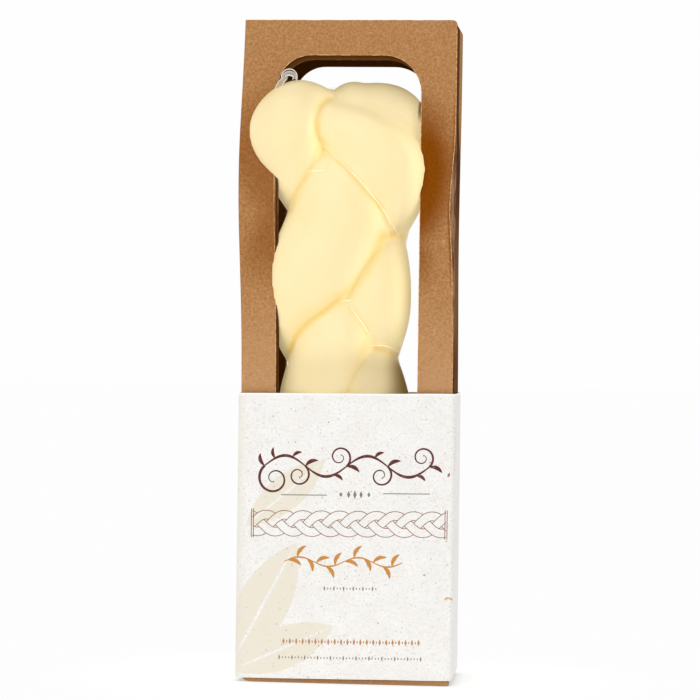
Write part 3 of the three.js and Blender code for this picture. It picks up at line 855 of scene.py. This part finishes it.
paper_edge = Finish("paper_edge", Roughness=0.95, Specular_IOR_Level=0.1)
edge_grain = paper_edge.noise(paper_edge.place(), 1800.0)
edge_mat = paper_edge.paint(
    Base_Color=paper_edge.blend(edge_grain, screen(252, 250, 247), screen(240, 236, 231))
)
label_band = finished(bm, "label_band", [paper_mat, edge_mat, edge_mat])
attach(label_band, "root")
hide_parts("label")

# ---- Printed ornament -----------------------------------------------------------------------
# Lines of ink on the paper: a scroll with leaves, two rules, a plaited border, a sprig and
# rows of short bars. Each is a flat raised bead that follows the band.

INK_RISE = 0.03
THIN = 0.07


def print_ink(name, strokes, tone):
    """Strokes of (along, up, half width) in millimetres, laid on the band in one ink."""
    bm = drawn(name, [[((along, up, 0.0), half) for along, up, half in stroke] for stroke in strokes])
    bmesh.ops.remove_doubles(bm, verts=bm.verts[:], dist=0.001)
    for vert in bm.verts:
        along, up, rise = vert.co
        vert.co = band_spot(along, up, -0.012 - INK_RISE * clamp(rise / 0.15, -1.0, 1.0))
    bmesh.ops.recalc_face_normals(bm, faces=bm.faces[:])
    ink = Finish(name, Roughness=0.75, Specular_IOR_Level=0.25)
    wear = ink.noise(ink.place(), 1300.0, 3.0, 0.6)
    pale = tuple(0.8 * part + 0.2 * 0.8 for part in tone)
    piece = finished(bm, name, [ink.paint(Base_Color=ink.blend(ink.ease(wear, 0.5, 0.85), tone, pale))])
    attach(piece, "root")


def tendril(x, z, bearing, turn, wide, tight, thick, steps=54):
    """A stroke that sets off on a bearing and coils ever tighter. A positive turn goes left."""
    heading, bend = math.radians(bearing), math.radians(turn) / steps
    stroke = []
    for step in range(steps + 1):
        part = step / steps
        bud = 0.22 if part > 0.97 else 0.0
        stroke.append((x, z, max(thick + (THIN - thick) * part, bud)))
        run = abs(bend) * (wide + (tight - wide) * part)
        heading += bend
        x += run * math.cos(heading)
        z += run * math.sin(heading)
    return stroke


def small_leaf(x, z, length, bearing, width):
    """A filled leaf: one stroke that swells and closes, and bends a little."""
    turn = math.radians(bearing)
    stroke = []
    for step in range(13):
        part = step / 12
        bend = 0.16 * length * math.sin(math.pi * part)
        stroke.append((
            x + length * part * math.cos(turn) - bend * math.sin(turn),
            z + length * part * math.sin(turn) + bend * math.cos(turn),
            0.04 + width * math.sin(math.pi * part) ** 0.8,
        ))
    return stroke


class Vine:
    """A waved stem of print: where it is, and which way it heads."""

    def __init__(self, left, right, height, swing, wave):
        self.left, self.right, self.height, self.swing, self.wave = left, right, height, swing, wave

    def z(self, x):
        return self.height + self.swing * math.sin((x - self.left) * 2 * math.pi / self.wave)

    def heading(self, x):
        slope = self.swing * 2 * math.pi / self.wave * math.cos((x - self.left) * 2 * math.pi / self.wave)
        return math.degrees(math.atan(slope))

    def stroke(self, thin, thick, steps=120):
        line = []
        for step in range(steps + 1):
            x = self.left + (self.right - self.left) * step / steps
            swell = 0.5 - 0.5 * math.cos((x - self.left) * 4 * math.pi / self.wave)
            line.append((x, self.z(x), thin + (thick - thin) * swell))
        return line


vine = Vine(-19.6, 20.4, 52.6, 2.5, 20.0)
scroll = [vine.stroke(0.17, 0.36)]
scroll.append(tendril(-19.6, 52.6, 180.0 + vine.heading(-19.6), 520.0, 3.9, 0.6, 0.34))
for number, x in enumerate((-9.6, 0.4, 10.4, 20.4)):
    side = -1.0 if number % 2 == 0 else 1.0
    heading = vine.heading(x)
    scroll.append(tendril(x, vine.z(x), heading, side * 500.0, 2.75, 0.5, 0.27))
    scroll.append(small_leaf(x, vine.z(x), 3.4, heading + side * -62.0, 0.44))
    scroll.append(small_leaf(x - 3.2, vine.z(x - 3.2), 2.6, vine.heading(x - 3.2) - side * 52.0, 0.36))
scroll.append(small_leaf(-19.6, 52.6, 3.2, 110.0, 0.42))
scroll.append(small_leaf(-17.0, vine.z(-17.0), 2.7, 100.0, 0.36))
print_ink("label_scroll", scroll, screen(96, 44, 40))

rules = []
for start, end, height in ((-15.5, -4.3, 45.6), (9.3, 20.6, 46.1)):
    rules.append([(start + (end - start) * i / 12, height, 0.11) for i in range(13)])
for middle, tall in ((-0.9, 0.55), (1.0, 0.8), (2.5, 1.0), (4.0, 0.8), (5.9, 0.55)):
    rules.append([(middle, 45.8 - tall, 0.05), (middle, 45.8, 0.4), (middle, 45.8 + tall, 0.05)])
print_ink("label_rules", rules, screen(132, 122, 116))

PLAIT_LEFT = -22.4
PLAIT_LENGTH = 47.0
PLAIT_REPEAT = PLAIT_LENGTH / 3.5
PLAIT_SWING = 2.05
PLAIT_HALF = 1.05
PLAIT_UP = 38.7
END_BAR = 3.5


def plait_strand(number, along):
    """The height, the upright half width and the nearness of one strand of the plait."""
    angle = 2 * math.pi * (along / PLAIT_REPEAT + number / 3)
    slope = PLAIT_SWING * math.cos(angle) * 2 * math.pi / PLAIT_REPEAT
    return PLAIT_SWING * math.sin(angle), PLAIT_HALF * math.hypot(1.0, slope), math.sin(2 * angle)


border = []
for number in range(3):
    for rim in (-1.0, 1.0):
        line = []
        for step in range(481):
            along = PLAIT_LEFT + PLAIT_LENGTH * step / 480
            height, half, near = plait_strand(number, along)
            height += rim * half
            under = False
            for other in range(3):
                centre, cover, nearness = plait_strand(other, along)
                if other != number and nearness > near and abs(height - centre) < cover:
                    under = True
            if not under:
                line.append((along, PLAIT_UP + height, 0.09))
            if (under or step == 480) and len(line) > 1:
                border.append(line)
            if under:
                line = []
for end in (PLAIT_LEFT, PLAIT_LEFT + PLAIT_LENGTH):
    for along in (end - 0.25, end + 0.25):
        border.append([(along, PLAIT_UP - END_BAR, 0.1), (along, PLAIT_UP + END_BAR, 0.1)])
print_ink("label_border", border, screen(146, 100, 74))

twig = Vine(-14.4, 14.2, 29.5, 1.1, 14.3)
sprig = [twig.stroke(0.12, 0.2)]
for number in range(12):
    x = twig.left + 0.8 + number * 2.3
    side = 1.0 if number % 2 else -1.0
    sprig.append(small_leaf(x, twig.z(x), 3.5, twig.heading(x) + side * 46.0, 0.42))
    bud = x + 1.0
    lift = twig.z(bud) + side * 1.5
    sprig.append([(bud - 0.05, lift, 0.26), (bud + 0.05, lift, 0.26)])
print_ink("label_sprig", sprig, screen(201, 138, 60))


def bead_row(start, end, height, size, every):
    """A row of small lozenges with dots between them."""
    row = []
    number = 0
    x = start
    while x <= end:
        if number % every == 0:
            row.append([(x, height - size, 0.05), (x, height, 0.42 * size), (x, height + size, 0.05)])
        else:
            row.append([(x, height - 0.35 * size, 0.13), (x, height + 0.35 * size, 0.13)])
        x += 0.78
        number += 1
    return row


print_ink(
    "label_beads_small", bead_row(-4.6, 8.4, 23.1, 0.55, 3) + bead_row(-15.4, 19.0, 6.3, 0.55, 4),
    screen(150, 128, 116),
)
print_ink("label_beads", bead_row(-14.4, 18.7, 10.2, 0.72, 2), screen(190, 134, 84))
print_ink(
    "label_side_sprig",
    [small_leaf(24.4, 20.6, 1.4, 20.0, 0.24), small_leaf(25.4, 21.0, 1.4, -25.0, 0.24)],
    screen(216, 178, 132),
)
side_marks = [[(28.3, 52.0 + i * 0.9, 0.16), (28.9, 52.0 + i * 0.9, 0.16)] for i in range(12)]
side_marks.append([(24.9, 50.2, 0.1), (25.1, 50.7, 0.3), (25.3, 51.2, 0.1)])
print_ink("label_side_marks", side_marks, screen(160, 104, 84))

# ---- Cheese ---------------------------------------------------------------------------------
# Three thick strands of soft cheese, plaited by hand. Each is pulled from one ball of curd,
# and they press on each other, so they flatten where they meet and nearly fuse.

# Each strand's stations: its centre (across, back and up), half its width and half its depth.
STRANDS = (
    (
        (-6.4, -9.3, 138.9, 5.0, 6.6), (-12.7, -12.4, 138.5, 7.5, 8.9),
        (-15.3, -12.5, 133.9, 9.3, 9.4), (-13.7, -9.5, 127.2, 8.0, 8.7),
        (-10.1, -5.0, 120.4, 8.0, 8.8), (-4.0, 0.5, 113.2, 9.2, 8.5),
        (2.2, -0.2, 107.4, 9.1, 8.3), (5.8, -7.2, 99.7, 8.3, 9.0),
        (5.5, -8.0, 91.0, 8.9, 8.9), (3.3, -1.9, 83.4, 8.7, 8.6),
        (-3.4, 5.1, 69.9, 8.8, 8.5), (-8.3, 2.4, 53.0, 9.0, 8.5),
        (-8.4, -4.6, 37.0, 9.4, 8.8), (0.5, -5.0, 22.0, 9.8, 8.6),
        (5.6, -3.0, 9.1, 9.4, 8.8),
    ),
    (
        (-0.2, -7.8, 138.7, 7.4, 9.7), (8.4, -5.6, 135.2, 10.0, 9.8),
        (7.1, -3.8, 128.2, 10.0, 9.8), (-1.4, -8.2, 120.8, 11.3, 10.3),
        (-3.5, -9.5, 109.9, 12.5, 10.2), (-7.7, -10.5, 99.8, 11.9, 9.9),
        (-9.5, -7.0, 89.1, 10.0, 9.5), (-6.5, 0.8, 81.0, 9.2, 8.6),
        (0.1, 1.1, 78.0, 8.7, 9.0), (3.9, -5.3, 74.5, 8.3, 9.6),
        (6.5, -5.1, 62.9, 8.6, 9.3), (3.0, 4.6, 45.0, 9.2, 8.6),
        (-5.0, 5.4, 30.0, 9.2, 8.6), (-8.0, 3.0, 9.8, 9.8, 9.2),
    ),
    (
        (-4.9, -12.4, 136.1, 5.2, 7.3), (1.7, -13.4, 132.3, 7.2, 9.0),
        (9.4, -12.6, 125.7, 8.8, 9.5), (11.6, -8.9, 119.6, 5.8, 9.0),
        (7.8, -1.5, 112.0, 5.6, 8.7), (3.6, 2.6, 104.5, 8.2, 8.5),
        (-1.2, -4.8, 95.8, 8.9, 8.8), (-3.0, -9.3, 85.2, 9.4, 9.2),
        (-5.5, -7.4, 74.6, 10.1, 9.1), (-7.5, -4.9, 66.0, 9.8, 9.1),
        (-1.7, 4.3, 51.5, 9.5, 8.4), (7.0, 0.0, 36.0, 9.6, 9.0),
        (4.5, 4.8, 20.0, 9.6, 8.6), (0.0, 4.8, 8.7, 9.2, 8.8),
    ),
)
STRAND_RINGS = 220
STRAND_SIDES = 48
SQUARENESS = 2.3
RING_GATHERING = 0.6
# A rounded end's length, as a share of the strand's half width there.
END_LENGTH = 0.9


def through(knots, t):
    """A smooth curve through knots at t from 0 to 1, its steps weighed by the knots' distances."""
    spans = len(knots) - 1
    span = min(int(t * spans), spans - 1)
    part = t * spans - span
    b, c = knots[span], knots[span + 1]
    a = knots[span - 1] if span > 0 else 2 * knots[0] - knots[1]
    d = knots[span + 2] if span + 2 <= spans else 2 * knots[-1] - knots[-2]
    before, during, after = ((q - p).length ** 0.5 or 1.0 for p, q in ((a, b), (b, c), (c, d)))
    leave = ((b - a) / before - (c - a) / (before + during) + (c - b) / during) * during
    arrive = ((c - b) / during - (d - b) / (during + after) + (d - c) / after) * during
    square, cube = part * part, part * part * part
    return (
        b * (2 * cube - 3 * square + 1) + c * (3 * square - 2 * cube)
        + leave * (cube - 2 * square + part) + arrive * (cube - square)
    )


def full(value):
    """A sine or cosine made larger, so that a strand's section is a little squarer than round."""
    return math.copysign(abs(value) ** (2.0 / SQUARENESS), value)


def add_strand(bm, stations):
    """A ball drawn out along the strand: its poles are the ends and its rings the sections."""
    centres = [Vector(station[:3]) for station in stations]
    sizes = [Vector((station[3], station[4], 0.0)) for station in stations]
    fine = 400
    places = [through(centres, i / fine) for i in range(fine + 1)]
    reach = [0.0]
    for here, there in zip(places, places[1:]):
        reach.append(reach[-1] + (there - here).length)
    length = reach[-1]
    ball = bmesh.ops.create_uvsphere(
        bm, u_segments=STRAND_SIDES, v_segments=STRAND_RINGS, radius=1.0
    )["verts"]
    first = END_LENGTH * sizes[0].x
    last = END_LENGTH * sizes[-1].x
    sections = {}
    for vert in ball:
        ring = round(math.acos(clamp(vert.co.z, -1.0, 1.0)) / math.pi * STRAND_RINGS)
        if ring not in sections:
            even = ring / STRAND_RINGS
            along = even - RING_GATHERING * math.sin(2 * math.pi * even) / (2 * math.pi)
            run = -first + (length + first + last) * along
            on = clamp(run, 0.0, length)
            index = next((n for n in range(fine) if reach[n + 1] >= on), fine - 1)
            t = (index + (on - reach[index]) / (reach[index + 1] - reach[index])) / fine
            ahead = through(centres, min(t + 1e-3, 1.0)) - through(centres, max(t - 1e-3, 0.0))
            ahead.normalize()
            past = -run / first if run < 0 else max(0.0, run - length) / last
            back = Vector((0.0, 1.0, 0.0))
            deep = (back - ahead * back.dot(ahead)).normalized()
            sections[ring] = (
                through(centres, t) + ahead * (run - on), deep, deep.cross(ahead).normalized(),
                through(sizes, t), math.sqrt(max(0.0, 1.0 - past * past)),
            )
        centre, deep, wide, size, narrow = sections[ring]
        angle = math.atan2(vert.co.y, vert.co.x)
        vert.co = (
            centre + wide * (size.x * narrow * full(math.cos(angle)))
            + deep * (size.y * narrow * full(math.sin(angle)))
        )


def reskinned(bm, voxel, name):
    """One even skin round everything in the bmesh."""
    piece = finished(bm, name, [])
    remesh = piece.modifiers.new("skin", "REMESH")
    remesh.mode = "VOXEL"
    remesh.voxel_size = voxel
    return made_real(piece)


def relaxed(bm, rounds):
    """The bmesh smoothed that many times."""
    for _ in range(rounds):
        bmesh.ops.smooth_vert(
            bm, verts=bm.verts[:], factor=0.5, use_axis_x=True, use_axis_y=True, use_axis_z=True
        )
    return bm


def keep_largest(bm):
    """Drops loose scraps that a cut leaves."""
    bm.verts.ensure_lookup_table()
    seen, groups = set(), []
    for vert in bm.verts:
        if vert.index in seen:
            continue
        group, front = [], [vert]
        seen.add(vert.index)
        while front:
            here = front.pop()
            group.append(here)
            for edge in here.link_edges:
                there = edge.other_vert(here)
                if there.index not in seen:
                    seen.add(there.index)
                    front.append(there)
        groups.append(group)
    best = max(groups, key=len)
    loose = [vert for group in groups if group is not best for vert in group]
    bmesh.ops.delete(bm, geom=loose, context="VERTS")
    return bm


CARD_GAP = 0.45
VOXEL = 0.49
bm = bmesh.new()
for stations in STRANDS:
    add_strand(bm, stations)
bm = relaxed(reskinned(bm, VOXEL, "cheese_union"), 1)


def front_panel_room():
    """The room that the front panel takes, less the window that the cheese bulges through."""
    low = -HALF_DEPTH - CARD_GAP
    high = LINING_Y + CARD + CARD_GAP
    columns = [-30.0 + 1.5 * i for i in range(41)]
    rows = [-2.0 + 2.0 * i for i in range(83)]
    room = flat_sheet(columns, rows, high - low)
    hole = rounded_plug(
        LINING_RIGHT + CARD_GAP - WINDOW_HALF, WINDOW_HALF - CARD_GAP,
        WINDOW_LOW + CARD_GAP, WINDOW_HIGH - LINING_DOWN - CARD_GAP,
        WINDOW_ROUND_LEFT, WINDOW_ROUND_RIGHT, 12.0,
    )
    room = cut_by(room, [hole], "panel_room")
    for vert in room.verts:
        x, z, depth = vert.co
        vert.co = (spot(x, low + depth, z) / MM) - carton_middle
    bmesh.ops.recalc_face_normals(room, faces=room.faces[:])
    return room


bm = keep_largest(cut_by(bm, [front_panel_room()], "cheese"))
bm = keep_largest(reskinned(bm, VOXEL, "cheese_skin"))
bm = relaxed(bm, 2)
bm.normal_update()

# The film lies on the strands and bridges the creases: the cheese is swollen, skinned again
# and shrunk back, and what is filled in stays. Under it the soft strands are pressed flush, so
# only the middle of each crease stays open, as a narrow groove.
SWELL = 2.4
FILM = 0.12
PLUMP = 0.22
VALLEY_REACH = 3.2
for vert in bm.verts:
    vert.co += vert.normal * PLUMP

# The frontmost bulge is pressed a little flatter by the film.
foremost = min(vert.co.y for vert in bm.verts)
front_limit = cad_box[0][1] / MM - carton_middle.y + 0.3
flat_from = front_limit + 1.4
for vert in bm.verts:
    if vert.co.y < flat_from:
        vert.co.y = flat_from - (flat_from - vert.co.y) * (flat_from - front_limit) / (flat_from - foremost)
film_bm = bm.copy()
for vert in film_bm.verts:
    vert.co += vert.normal * SWELL
film_bm = keep_largest(reskinned(film_bm, 1.25 * VOXEL, "film_swollen"))
relaxed(film_bm, 4)
film_bm.normal_update()
for vert in film_bm.verts:
    vert.co -= vert.normal * (SWELL - FILM)
relaxed(film_bm, 2)
film_bm.normal_update()

film_tree = BVHTree.FromBMesh(film_bm)
nearest = []
for vert in bm.verts:
    hit, normal, index, gap = film_tree.find_nearest(vert.co)
    nearest.append((hit, abs(normal.y), max(gap - FILM, 0.0)))
bm.verts.ensure_lookup_table()
valley = [i for i, (hit, facing, depth) in enumerate(nearest) if depth > 0.3][::3]
valley_tree = KDTree(len(valley))
for i in valley:
    valley_tree.insert(bm.verts[i].co, i)
valley_tree.balance()

# Where a strand dives under another on the front, the crease and the cheese beside it are painted a deeper
# yellow, as shade: lines of (across, up), each with its width, its strength and how deep it is pinched.
MAIN_CROSSING = ((-5.9, 129.9), (-0.8, 125.1), (3.5, 120.9), (7.8, 115.6), (11.1, 110.0), (12.6, 106.8))
CREASE_SHADE_LINES = (
    (((-4.9, 141.0), (-6.6, 139.2), (-7.4, 135.7), (-7.4, 132.1), (-5.8, 129.8)), 1.0, 0.75, 0.1),
    (((-7.1, 129.4), (-8.8, 125.1), (-11.3, 120.8), (-13.4, 116.9), (-14.4, 114.1)), 0.8, 0.5, 0.1),
    (((-9.9, 123.3), (-11.6, 120.8), (-13.2, 117.4)), 1.3, 0.5, 0.0),
    (MAIN_CROSSING, 0.5, 0.15, 0.05),
    (((8.5, 108.2), (6.6, 104.0), (4.5, 99.7), (1.0, 95.0), (-2.0, 92.8)), 1.4, 0.75, 0.15),
    (((-1.7, 92.8), (-4.9, 90.3), (-9.1, 87.4), (-12.7, 83.8), (-14.4, 80.2)), 0.9, 1.0, 0.3),
    (((-2.0, 93.0), (-4.9, 91.0), (-9.1, 88.2), (-12.4, 84.8)), 1.8, 0.45, 0.0),
    (((0.7, 91.1), (2.9, 88.3), (5.1, 84.0)), 0.7, 0.35, 0.1),
    (((5.1, 82.6), (3.1, 77.6), (0.6, 71.1)), 1.2, 0.35, 0.1),
)


def beside(path, x, z):
    """How far a point of the front is from a path of (across, up)."""
    here = Vector((x, z))
    gaps = []
    for start, end in zip(path, path[1:]):
        start, run = Vector(start), Vector(end) - Vector(start)
        gaps.append((here - start - run * clamp((here - start).dot(run) / run.length_squared)).length)
    return min(gaps)


# Near the top right two strands lie flush, and their seam is soft: its line (across, up).
SOFT_SEAM = ((-2.8, 141.1), (5.1, 138.1), (9.5, 136.3), (12.8, 133.9), (15.7, 131.0), (17.0, 128.3))
crease = bm.verts.layers.float.new("crease")
glow = bm.verts.layers.float.new("glow")
dim = bm.verts.layers.float.new("dim")
lit = bm.verts.layers.float.new("lit")
moved = []
for vert, (hit, facing, depth) in zip(bm.verts, nearest):
    near = valley_tree.find_range(vert.co, VALLEY_REACH) if depth > 0.05 else []
    deepest = max([depth] + [nearest[found[1]][2] for found in near])
    core = depth / deepest if near else 0.0
    soft = 0.0
    if near and vert.co.z > 122.0 and vert.co.y < -3.0:
        soft = math.exp(-((beside(SOFT_SEAM, vert.co.x, vert.co.z) / 3.0) ** 2))
    # Painted shade: crease darkens the middle of each crease, and glow tints the cheese beside it a deeper
    # yellow.
    vert[crease] = core**3 * clamp(deepest / 0.9) * (1.0 - 0.85 * soft)
    vert[glow] = 0.5 * ease(depth, 0.0, 1.3) * (1.0 - 0.7 * soft)
    groove = min(deepest, 0.42 + 0.27 * deepest) * core**2 * (1.0 - 0.5 * soft)
    kept = depth + (groove - depth) * ease(facing, 0.3, 0.75)
    moved.append(hit + (vert.co - hit) * ((kept + FILM) / (depth + FILM)) if near else vert.co.copy())


def shaded(place):
    """How much painted shade darkens the cheese: most just above the band at the right, and behind the
    card's edge.
    """
    right_part = 0.2 * ease(place.x, -1.0, 5.0) + 0.56 * ease(place.x, 8.0, 13.5)
    low_part = (1.0 - ease(place.z, 76.0, 83.0)) * (0.15 + right_part)
    behind_card = 0.0
    if place.y > -13.0:
        up = ease(place.z, 135.5, 139.0) * (1.0 - ease(place.z, 142.0, 145.0))
        behind_card = 0.85 * ease(place.x, 16.05, 16.35) * up
    top_part = 0.13 * ease(place.z, 134.0, 145.0)
    left_part = 0.09 * (1.0 - ease(place.x, -24.0, -15.0)) * ease(place.z, 112.0, 124.0)
    return max(low_part, behind_card, top_part + left_part)


bm.normal_update()
for vert, place in zip(bm.verts, moved):
    if place.y < -5.0 and place.z > 68.0:
        for path, width, strength, pinch in CREASE_SHADE_LINES:
            near = math.exp(-((beside(path, place.x, place.z) / width) ** 2))
            vert[glow] = max(vert[glow], strength * near)
            place = place - vert.normal * pinch * near**3
    vert[dim] = shaded(place)
    # Painted light: the cheese glows brighter where a strand turns away at the right, as light going through
    # it would make it.
    vert[lit] = 0.9 * ease(vert.normal.x, 0.3, 0.85) * (1.0 - vert[dim])
    vert.co = (place + carton_middle) * MM

cheese = Finish(
    "cheese", Roughness=0.45, Specular_IOR_Level=0.35, Coat_Weight=0.2, Coat_Roughness=0.35,
    Subsurface_Weight=0.6, Subsurface_Radius=(1.0, 0.78, 0.36), Subsurface_Scale=2.2 * MM,
    Emission_Strength=0.64,
)
deep_part = cheese.marked("crease")
crease_shade_part = cheese.marked("glow")
curd = cheese.noise(cheese.place(), 60.0, 3.0, 0.5)
milk = cheese.blend(cheese.ease(curd, 0.3, 0.7), screen(255, 236, 182), screen(255, 233, 172))
strings = cheese.noise(cheese.place(stretch=(3.0, 1.0, 0.6)), 320.0, 3.0, 0.5)
milk = cheese.blend(cheese.ease(strings, 0.5, 0.8) * 0.12, milk, screen(252, 224, 162))
# Painted shade in and beside the creases, a deep yellow as light through the curd makes it.
milk = cheese.blend(crease_shade_part, milk, screen(251, 214, 112))
milk = cheese.blend(cheese.ease(deep_part, 0.1, 0.9) * 0.45, milk, screen(246, 204, 98))
dim_part = cheese.marked("dim")
# Painted shade: the cheese is darkened towards olive brown where dim is high.
milk = cheese.blend(dim_part, milk, screen(134, 98, 14))
cheese.bump(curd * 0.5 + strings * 0.5, 0.12, 0.0002)
lit_part = cheese.marked("lit")
# Painted light: the whole cheese glows a little, on a darkened base colour, to lift its shade as light
# through the curd would.
cheese_mat = cheese.paint(
    Base_Color=cheese.blend(0.36, milk, (0.0, 0.0, 0.0)),
    Emission_Color=cheese.blend(lit_part, cheese.blend(0.4, milk, (0.0, 0.0, 0.0)), milk),
)
cheese_braid = finished(bm, "cheese_braid", [cheese_mat], 80.0)
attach(cheese_braid, "root")
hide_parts("cheese")

# Painted shadow: the card is warmer and darker where the cheese leans over it and shades it, most at the
# right, and faintly round the middle height. It is also darker in a strip beside the raw edge, half way up.
cheese_tree = BVHTree.FromObject(cheese_braid, bpy.context.evaluated_depsgraph_get())
wrap = carton_wrap.data
cheese_shadow_layer = wrap.attributes.new("warm", "FLOAT", "POINT")
for number, vert in enumerate(wrap.vertices):
    if vert.co.y > (carton_middle.y - 13.0) * MM:
        continue
    gap = cheese_tree.find_nearest(vert.co)[3] / MM
    up = vert.co.z / MM
    near_cheese_shadow = 1.0 - ease(gap, 2.8, 11.5)
    share = 1.0 if vert.co.x > 0 else 0.6
    half_way = ease(up, 90.0, 107.0) * (1.0 - ease(up, 130.0, 150.0))
    from_edge = HALF_WIDTH - crush(up) - (vert.co.x / MM - carton_middle.x)
    edge_strip = 0.8 * (1.0 - ease(from_edge, 0.3, 0.9)) * half_way
    cheese_shadow_layer.data[number].value = max(share * near_cheese_shadow * half_way, edge_strip, 0.2 * bell(up, 118.0, 26.0))

# ---- Film -----------------------------------------------------------------------------------
# Thin clear vacuum film drawn tight over the braid. Its folds lie along the creases as fine
# pale ridges, and a twist of spare film stands up in a small curl at the top left.

for vert in film_bm.verts:
    vert.co = (vert.co + carton_middle) * MM
film_finish = Finish("clear_film", Roughness=0.3, Alpha=0.07)
film_haze = film_finish.noise(film_finish.place(), 240.0, 3.0, 0.6)
film_mat = film_finish.paint(
    Base_Color=film_finish.blend(film_haze, (0.96, 0.96, 0.94), (0.90, 0.90, 0.88)),
)
film_skin = finished(film_bm, "film_skin", [film_mat], 80.0)
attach(film_skin, "root")


def threaded(points, thin=0.35, thick=1.0, steps=14):
    """A smooth line through points, thin at its ends and thick in the middle."""
    path = [Vector(p) for p in points]
    path = [2 * path[0] - path[1], *path, 2 * path[-1] - path[-2]]
    spans = len(path) - 3
    line = []
    for span in range(spans):
        a, b, c, d = path[span : span + 4]
        for step in range(steps + (span == spans - 1)):
            t = step / steps
            place = 0.5 * (
                2 * b + (c - a) * t + (2 * a - 5 * b + 4 * c - d) * t**2 + (3 * b - a - 3 * c + d) * t**3
            )
            swell = math.sin(math.pi * (span + t) / spans) ** 2
            line.append((place.x, place.y, thin + (thick - thin) * swell))
    return line


FOLDS = (
    MAIN_CROSSING,
    ((-9.8, 123.6), (-8.0, 123.8), (-5.5, 123.9)),
    ((-1.7, 92.3), (0.1, 92.6), (1.5, 92.8)),
    ((0.9, 91.2), (2.6, 88.8), (4.7, 85.8), (6.0, 83.3)),
    ((5.8, 81.8), (8.2, 81.9), (10.4, 81.3), (12.4, 79.9)),
    ((-15.3, 78.4), (-15.0, 77.3), (-14.6, 76.5)),
)
film_surface = BVHTree.FromObject(film_skin, bpy.context.evaluated_depsgraph_get())
ridges = []
for fold in FOLDS:
    ridge = []
    for x, z, width in threaded(fold):
        start = (Vector((x, -60.0, z)) + carton_middle) * MM
        hit = film_surface.ray_cast(start, Vector((0.0, 1.0, 0.0)))[0]
        if hit:
            ridge.append((hit + Vector((0.0, -0.04, 0.0)) * MM, width))
    if len(ridge) > 2:
        ridges.append(ridge)
# The ridges glow faintly: painted light that keeps them pale in the creases.
fold_finish = Finish("film_ridge", Roughness=0.3, Alpha=0.5, Emission_Strength=0.3)
ridge_haze = fold_finish.noise(fold_finish.place(), 500.0)
ridge_tone = fold_finish.blend(ridge_haze, screen(255, 246, 222), screen(255, 240, 204))
film_folds = finished(
    drawn("film_folds", ridges, 0.12 * MM, 2), "film_folds",
    [fold_finish.paint(Base_Color=ridge_tone, Emission_Color=ridge_tone)],
)
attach(film_folds, "root")

# The curl is a strip of film, wound once into a loop with bright rims, on a short tail.
CURL_X = -14.6
CURL_Y = -17.6
CURL_Z = 146.4
CURL_OUTER = 1.9
CURL_EYE = 1.0


def curl_ring(part, start, end, steps=40):
    """A turn of the loop as seen from the front, from its outer rim (0) to its eye (1)."""
    radius = CURL_OUTER + (CURL_EYE - CURL_OUTER) * part
    flat = 1.0 - 0.42 * part
    middle = CURL_Z - 0.25 * part
    ring = []
    for step in range(steps + 1):
        angle = math.radians(start + (end - start) * step / steps)
        ring.append((CURL_X + radius * math.cos(angle), middle + flat * radius * math.sin(angle)))
    return ring


CURL_TAIL_OUTER = ((-18.1, 143.2), (-17.7, 144.4), (-17.0, 145.5), (-16.2, 146.3))
CURL_TAIL_INNER = ((-16.3, 144.2), (-16.0, 144.9), (-15.6, 145.5), (-15.0, 146.2))
tail_middle = [tuple((a + b) / 2 for a, b in zip(*pair)) for pair in zip(CURL_TAIL_OUTER, CURL_TAIL_INNER)]
tail_to_eye = [*CURL_TAIL_INNER, *curl_ring(0.85, 150.0, 20.0, 12)]
# Each line of film has its path, its half thickness and how far it lies behind the curl's middle.
curl_lines = ((curl_ring(0.42, -20.0, 230.0), 0.42, 0.3),)
tail_lines = ((tail_middle, 0.7, 0.3),)
rim_lines = (
    (curl_ring(0.0, -30.0, 215.0), 0.13, -0.1), (curl_ring(1.0, -40.0, 190.0), 0.12, -0.2),
    (CURL_TAIL_OUTER, 0.12, -0.1), (tail_to_eye, 0.13, -0.3),
)
for name, strands, alpha, tones in (
    ("film_curl", curl_lines, 0.75, (screen(215, 208, 200), screen(190, 182, 172))),
    ("film_curl_tail", tail_lines, 0.6, (screen(222, 204, 180), screen(204, 184, 158))),
    ("film_curl_rims", rim_lines, 0.8, (screen(250, 246, 238), screen(232, 224, 210))),
):
    lines = [
        [((Vector((x, CURL_Y + behind, z)) + carton_middle) * MM, half) for x, z in path]
        for path, half, behind in strands
    ]
    twist = Finish(name, Roughness=0.25, Alpha=alpha)
    haze = twist.noise(twist.place(), 600.0)
    twist_mat = twist.paint(Base_Color=twist.blend(haze, *tones))
    piece = finished(drawn(name, lines, MM, 3), name, [twist_mat])
    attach(piece, "root")
